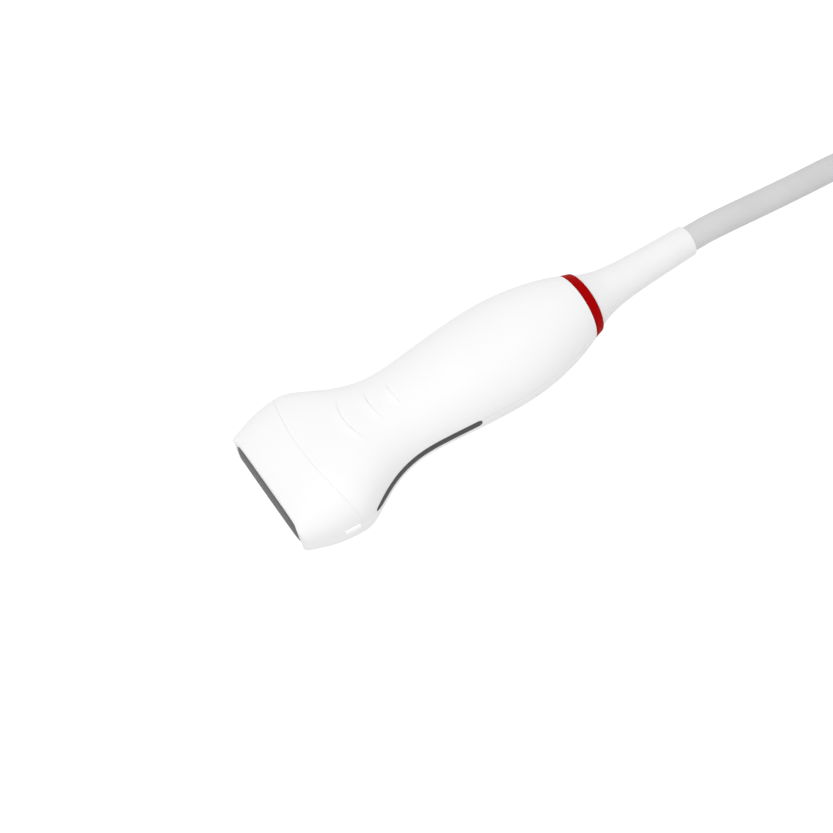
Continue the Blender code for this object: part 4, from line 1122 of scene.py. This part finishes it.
strap_nylon = woven_strap()
TIE_EDGE = mm(0.2)
TIE_TOP = tie_high[2] - TIE_END
tie_middle = (0.0, (FLOOR_Z + TIE_TOP) / 2)
tie_width = 2 * (HANK_BEND + CABLE_RADIUS + mm(0.1) + TIE_THICKNESS)
tie_height = TIE_TOP - FLOOR_Z
tie_places = ((tie_low[0] + TIE_EDGE, 0.0), (tie_high[0] - TIE_EDGE, 0.0),
              (tie_high[0], TIE_EDGE), (tie_high[0], TIE_THICKNESS - TIE_EDGE),
              (tie_high[0] - TIE_EDGE, TIE_THICKNESS), (tie_low[0] + TIE_EDGE, TIE_THICKNESS),
              (tie_low[0], TIE_THICKNESS - TIE_EDGE), (tie_low[0], TIE_EDGE))
tie_shape = tube_along(tie_places, tie_width, tie_height, CABLE_RADIUS + TIE_THICKNESS, tie_middle)
tie = finish_mesh("strap_loop", tie_shape, strap_nylon, "strip_rubber", "cable_tie")
TIE_END_LENGTH = mm(30)
TIE_END_SHIFT = mm(-6)
end_outline = rounded_outline(tie_high[0] - tie_low[0], TIE_END_LENGTH, mm(3),
                              ((tie_low[0] + tie_high[0]) / 2, TIE_END_SHIFT))
tie_end = finish_mesh("strap_end", skin_loops([[(x, y, z) for x, y in end_outline]
                                               for z in (TIE_TOP, TIE_TOP + TIE_END)]),
                      strap_nylon, "strip_rubber")
print("strap faces:", len(tie.data.polygons))


# %% [markdown]
# ## Connector
# The scanner end is a flat grey housing of two covers, a shrouded contact
# block and a short boot. The photograph doesn't show it, so it stays plain
# and typical. Its covers get rounded edges and a hairline between them.

# %% Connector covers
plug_low = [min(a, b) for a, b in zip(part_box("connector_bottom")[0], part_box("connector_top")[0])]
plug_high = [max(a, b) for a, b in zip(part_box("connector_bottom")[1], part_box("connector_top")[1])]
plug_middle = [(a + b) / 2 for a, b in zip(plug_low, plug_high)]
plug_size = [b - a for a, b in zip(plug_low, plug_high)]
PLUG_CORNER = mm(8.0)
PLUG_ROUND = mm(1.5)
COVER_EDGE = mm(0.25)


def cover_loop(inset, level):
    outline = rounded_outline(plug_size[0] - 2 * inset, plug_size[1] - 2 * inset,
                              PLUG_CORNER - inset, plug_middle[:2], 12)
    return [(x, y, plug_middle[2] + level) for x, y in outline]


def plug_cover(side):
    """One cover: a flat face, a rounded edge, a wall, and the open underside."""
    half = plug_size[2] / 2
    loops = [cover_loop(PLUG_ROUND, side * half)]
    for inset, down in quarter_round(8)[1:]:
        loops.append(cover_loop(PLUG_ROUND * inset, side * (half - PLUG_ROUND * down)))
    loops += [cover_loop(0.0, side * (GAP / 2 + COVER_EDGE)),
              cover_loop(COVER_EDGE, side * GAP / 2),
              cover_loop(WALL, side * GAP / 2), cover_loop(WALL, side * (half - WALL))]
    return skin_loops(loops)


def prism_along(outline, low, high):
    """A solid whose outline across the connector runs from low to high along it."""
    return skin_loops([[(x, y, z) for y, z in outline] for x in (low, high)])


shroud_low, shroud_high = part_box("contact_shroud")
shroud_width = shroud_high[1] - shroud_low[1]
shroud_height = shroud_high[2] - shroud_low[2]
INLET_RADIUS = mm(6.1)
inlet = [(INLET_RADIUS * math.cos(t), plug_middle[2] + INLET_RADIUS * math.sin(t))
         for t in TURNS[::4]]
window = rounded_outline(shroud_width + 2 * GAP, shroud_height + 2 * GAP, mm(1.7),
                         plug_middle[1:], 6)
connector_pieces = []
for word, side in (("top", 1), ("bottom", -1)):
    cover = finish_mesh("cover_" + word, plug_cover(side), cover_abs, "grey_plastic",
                        "connector_" + word, sharp=50)
    cut(cover, prism_along(window, plug_high[0] - 2 * WALL, plug_high[0] + WALL))
    cut(cover, prism_along(inlet, plug_low[0] - WALL, plug_low[0] + 2 * WALL))
    connector_pieces.append(cover)
    print(cover.name, "faces:", len(cover.data.polygons))


# %% Connector boot and shroud
plug_boot_low, plug_boot_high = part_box("connector_boot")
PLUG_BOOT_RADIUS = mm(7.5)
PLUG_BOOT_NECK = mm(5.8)
boot_tip = plug_boot_low[0]
boot_back = plug_low[0] - GAP
boot_flange = plug_low[0] + WALL + GAP
plug_boot_profile = [(boot_tip, CABLE_RADIUS), (boot_tip, PLUG_BOOT_NECK - mm(0.5)),
                     (boot_tip + mm(0.5), PLUG_BOOT_NECK)]
RIB_PITCH = mm(2.8)
GROOVE_DEPTH = mm(0.5)
PLUG_BOOT_STEPS = 56
for i in range(PLUG_BOOT_STEPS + 1):
    ahead = mm(0.8) + i * (boot_back - boot_tip - mm(1.2)) / PLUG_BOOT_STEPS
    share = ahead / (boot_back - boot_tip)
    body = PLUG_BOOT_NECK + (PLUG_BOOT_RADIUS - PLUG_BOOT_NECK) * share
    groove = 0.5 - 0.5 * math.cos(2 * math.pi * min(max(ahead / RIB_PITCH, 1.0), 6.0))
    plug_boot_profile.append((boot_tip + ahead, body - GROOVE_DEPTH * groove))
plug_boot_profile += [(boot_back, PLUG_BOOT_RADIUS - mm(0.2)), (boot_back, PLUG_BOOT_NECK),
                      (boot_flange, PLUG_BOOT_NECK), (boot_flange, PLUG_BOOT_RADIUS),
                      (plug_boot_high[0], PLUG_BOOT_RADIUS)]
plug_boot = turned(plug_boot_profile)
bmesh.ops.translate(plug_boot, vec=(0.0, 0.0, plug_middle[2]), verts=plug_boot.verts[:])
connector_pieces.append(finish_mesh("plug_boot", plug_boot, jacket_pvc, "boot_rubber",
                                    "connector_boot", sharp=50))

SHROUD_WALL = mm(1.0)
SHROUD_CORNER = mm(1.4)
SHROUD_EDGE = mm(0.3)
shroud_places = ((shroud_low[0], 0.0), (shroud_high[0] - SHROUD_EDGE, 0.0),
                 (shroud_high[0], SHROUD_EDGE), (shroud_high[0], SHROUD_WALL - SHROUD_EDGE),
                 (shroud_high[0] - SHROUD_EDGE, SHROUD_WALL), (shroud_low[0], SHROUD_WALL))
shroud_shape = tube_along(shroud_places, shroud_width, shroud_height, SHROUD_CORNER,
                          plug_middle[1:])
connector_pieces.append(finish_mesh("shroud_pressing", shroud_shape, nickel_steel,
                                    "plated_steel", "contact_shroud", sharp=50))
print("connector pieces:", len(connector_pieces))


# %% [markdown]
# ## Finger bars and contacts
# Two sets of equal parts repeat on the connector: ridges for the fingers along
# its sides, and the gold contacts in the slots of the block. Geometry Nodes
# makes both with one group: a line of points, a box on each point that a
# subdivision can round, instances made real, and one material. Inputs set
# how many there are, how far apart, which way the row runs and the size.

# %% Repeated parts
def group_input(group, name, kind, value):
    """Add a named input to a node group and give it a default."""
    socket = group.interface.new_socket(name=name, in_out="INPUT", socket_type=kind)
    if kind != "NodeSocketMaterial":
        socket.default_value = value


def box_row_group():
    """Boxes of one size in a row, square or rounded, as real geometry."""
    group = bpy.data.node_groups.new("box_row", "GeometryNodeTree")
    group.interface.new_socket(name="Geometry", in_out="OUTPUT", socket_type="NodeSocketGeometry")
    group_input(group, "Count", "NodeSocketInt", 12)
    group_input(group, "Step", "NodeSocketVector", (mm(2.5), 0.0, 0.0))
    group_input(group, "Size", "NodeSocketVector", (mm(1.2), mm(1.0), mm(8.0)))
    group_input(group, "Rounding", "NodeSocketInt", 0)
    group_input(group, "Material", "NodeSocketMaterial", None)
    given = add_node(group, "NodeGroupInput")
    out = add_node(group, "NodeGroupOutput")
    row = add_node(group, "GeometryNodeMeshLine", {"Count": given.outputs["Count"],
                                                   "Offset": given.outputs["Step"]},
                   mode="OFFSET")
    box = add_node(group, "GeometryNodeMeshCube", {"Size": given.outputs["Size"]})
    soft = add_node(group, "GeometryNodeSubdivisionSurface", {"Mesh": box.outputs["Mesh"],
                                                              "Level": given.outputs["Rounding"],
                                                              "Edge Crease": 0.55})
    placed = add_node(group, "GeometryNodeInstanceOnPoints", {"Points": row.outputs["Mesh"],
                                                              "Instance": soft.outputs[0]})
    real = add_node(group, "GeometryNodeRealizeInstances", {"Geometry": placed.outputs[0]})
    dressed = add_node(group, "GeometryNodeSetMaterial", {"Geometry": real.outputs[0],
                                                          "Material": given.outputs["Material"]})
    group.links.new(dressed.outputs[0], out.inputs["Geometry"])
    return group


def grow_from(group, name, values, place):
    """Run a node group, keep its result as a plain mesh, and put it in its place."""
    carrier = new_object(name, bpy.data.meshes.new(name + "_seed"))
    change = carrier.modifiers.new("nodes", "NODES")
    change.node_group = group
    sockets = {item.name: item.identifier for item in group.interface.items_tree
               if item.in_out == "INPUT"}
    for key, value in values.items():
        change[sockets[key]] = value
    keep_result(carrier, change)
    carrier.data.transform(Matrix.Translation(place))
    return carrier


box_row = box_row_group()
GRIP_COUNT = 11
GRIP_PITCH = mm(2.6)
GRIP_DEEP = mm(0.5)
for word, side in (("near", -1), ("far", 1)):
    for half, up in (("upper", 1), ("lower", -1)):
        y = plug_middle[1] + side * (plug_size[1] / 2 - GRIP_DEEP / 2)
        grip = grow_from(box_row, f"finger_bars_{word}_{half}",
                         {"Count": GRIP_COUNT, "Step": (GRIP_PITCH, 0.0, 0.0),
                          "Size": (mm(1.4), GRIP_DEEP, mm(6.6)), "Rounding": 3,
                          "Material": cover_abs},
                         (plug_middle[0] - GRIP_PITCH * (GRIP_COUNT - 1) / 2, y,
                          plug_middle[2] + up * mm(4.6)))
        connector_pieces.append(adopt(grip, cover_abs, "grey_plastic"))

block_low, block_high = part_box("contact_block")
CONTACT_COUNT = 20
contact_pitch = (block_high[1] - block_low[1]) / CONTACT_COUNT
CONTACT_SIZE = (mm(1.1), mm(0.6), mm(1.6))
for word, up in (("upper", 1), ("lower", -1)):
    contacts = grow_from(box_row, "contacts_" + word,
                         {"Count": CONTACT_COUNT, "Step": (0.0, contact_pitch, 0.0),
                          "Size": CONTACT_SIZE, "Rounding": 0, "Material": gold_flash},
                         (block_high[0] - mm(0.9), block_low[1] + contact_pitch / 2,
                          plug_middle[2] + up * mm(2.4)))
    connector_pieces.append(adopt(contacts, gold_flash, "plated_steel"))
print("bars and contacts:", [len(piece.data.polygons) for piece in connector_pieces])


# %% [markdown]
# ## Pieces kept from the solids
# What lies inside the closed housing keeps the solid's shape and gets the
# finish of the real one: epoxy, ceramic, film, boards, tinned copper, nylon.

# %% Finishes of the inner pieces
KEPT = {
    "nose_seal": seal_nitrile,
    "matching_layer_outer": epoxy,
    "matching_layer_inner": epoxy,
    "piezo_array": piezo_pzt,
    "backing_block": epoxy,
    "array_carrier": nylon_black,
    "flex_circuit_upper": flex_film,
    "flex_circuit_lower": flex_film,
    "interconnect_board": board_lacquer,
    "flex_socket_upper": nylon_black,
    "flex_socket_lower": nylon_black,
    "shield_upper": tinned_copper,
    "shield_lower": tinned_copper,
    "coax_bar_upper": nickel_steel,
    "coax_bar_lower": nickel_steel,
    "coax_bundle": coax_strands,
    "crimp_ferrule": milled_aluminium,
    "contact_block": nylon_black,
    "connector_board": board_lacquer,
}
for name, finish in KEPT.items():
    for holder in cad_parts[name].material_slots:
        holder.material = finish
print("kept from the solids:", len(KEPT))


# %% [markdown]
# ## What hangs on the cable
# The strap, its free end and the connector's pieces are gathered in one list.

# %% Cord
riders = [tie, tie_end, *connector_pieces]
riders += [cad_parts[name] for name in ("contact_block", "connector_board")]


# %% [markdown]
# ## Floor, light and background
# The photograph has a pure white ground and hardly a shadow. The camera sees
# the floor and the background as white, while the floor still keeps a faint
# shadow and lights the object from below. One large soft lamp overhead makes
# the broad face the brightest, and a weaker one lights the near side.

# %% Stage
def white_ground():
    """White paint that looks a little brighter to the camera than it is."""
    made, tree, shader = new_material("white_ground", Roughness=0.9)
    shader.inputs["Base Color"].default_value = srgb("#F2F2F2")
    glow = add_node(tree, "ShaderNodeEmission", {"Strength": 1.1, "Color": (1, 1, 1, 1)})
    seen = add_node(tree, "ShaderNodeLightPath")
    share = add_node(tree, "ShaderNodeMath", {0: seen.outputs["Is Camera Ray"], 1: 0.88},
                     operation="MULTIPLY")
    blend = add_node(tree, "ShaderNodeMixShader", {0: share.outputs[0],
                                                   1: shader.outputs[0], 2: glow.outputs[0]})
    output = tree.nodes["Material Output"]
    tree.links.new(blend.outputs[0], output.inputs["Surface"])
    return made


FLOOR_HALF = 3.0
bm = bmesh.new()
corners = [(-FLOOR_HALF, -FLOOR_HALF), (FLOOR_HALF, -FLOOR_HALF), (FLOOR_HALF, FLOOR_HALF),
           (-FLOOR_HALF, FLOOR_HALF)]
bm.faces.new([bm.verts.new((x, y, FLOOR_Z - mm(0.2))) for x, y in corners])
ground = new_object("ground", to_mesh("ground", bm))
ground.data.materials.append(white_ground())

WORLD_STRENGTH = 0.69
world = bpy.data.worlds.new("studio")
world.use_nodes = True
background = world.node_tree.nodes["Background"]
background.inputs["Color"].default_value = (1, 1, 1, 1)
seen = add_node(world.node_tree, "ShaderNodeLightPath")
seen_or_mirrored = add_node(world.node_tree, "ShaderNodeMath",
                            {0: seen.outputs["Is Camera Ray"],
                             1: seen.outputs["Is Glossy Ray"]}, operation="MAXIMUM")
seen_at_all = add_node(world.node_tree, "ShaderNodeMath",
                       {0: seen_or_mirrored.outputs[0],
                        1: seen.outputs["Is Transmission Ray"]}, operation="MAXIMUM")
level = add_node(world.node_tree, "ShaderNodeMapRange", {"Value": seen_at_all.outputs[0],
                                                         "To Min": WORLD_STRENGTH,
                                                         "To Max": 1.0})
world.node_tree.links.new(level.outputs["Result"], background.inputs["Strength"])
bpy.context.scene.world = world


def soft_lamp(name, place, aim, size, power):
    """A round area lamp that points at a place."""
    lamp_data = bpy.data.lights.new(name, "AREA")
    lamp_data.shape = "DISK"
    lamp_data.size = size
    lamp_data.energy = power
    lamp = new_object(name, lamp_data)
    lamp.location = place
    lamp.rotation_euler = (Vector(aim) - Vector(place)).to_track_quat("-Z", "Y").to_euler()
    return lamp


soft_lamp("overhead", (-0.25, -0.15, 1.0), (0.0, 0.0, 0.0), 0.9, 4.7)
soft_lamp("near_side", (0.3, -1.2, 0.6), (0.0, 0.0, 0.0), 1.2, 0.6)
scene = bpy.context.scene
scene.view_settings.view_transform = "Standard"
print("lamps:", len(bpy.data.lights))
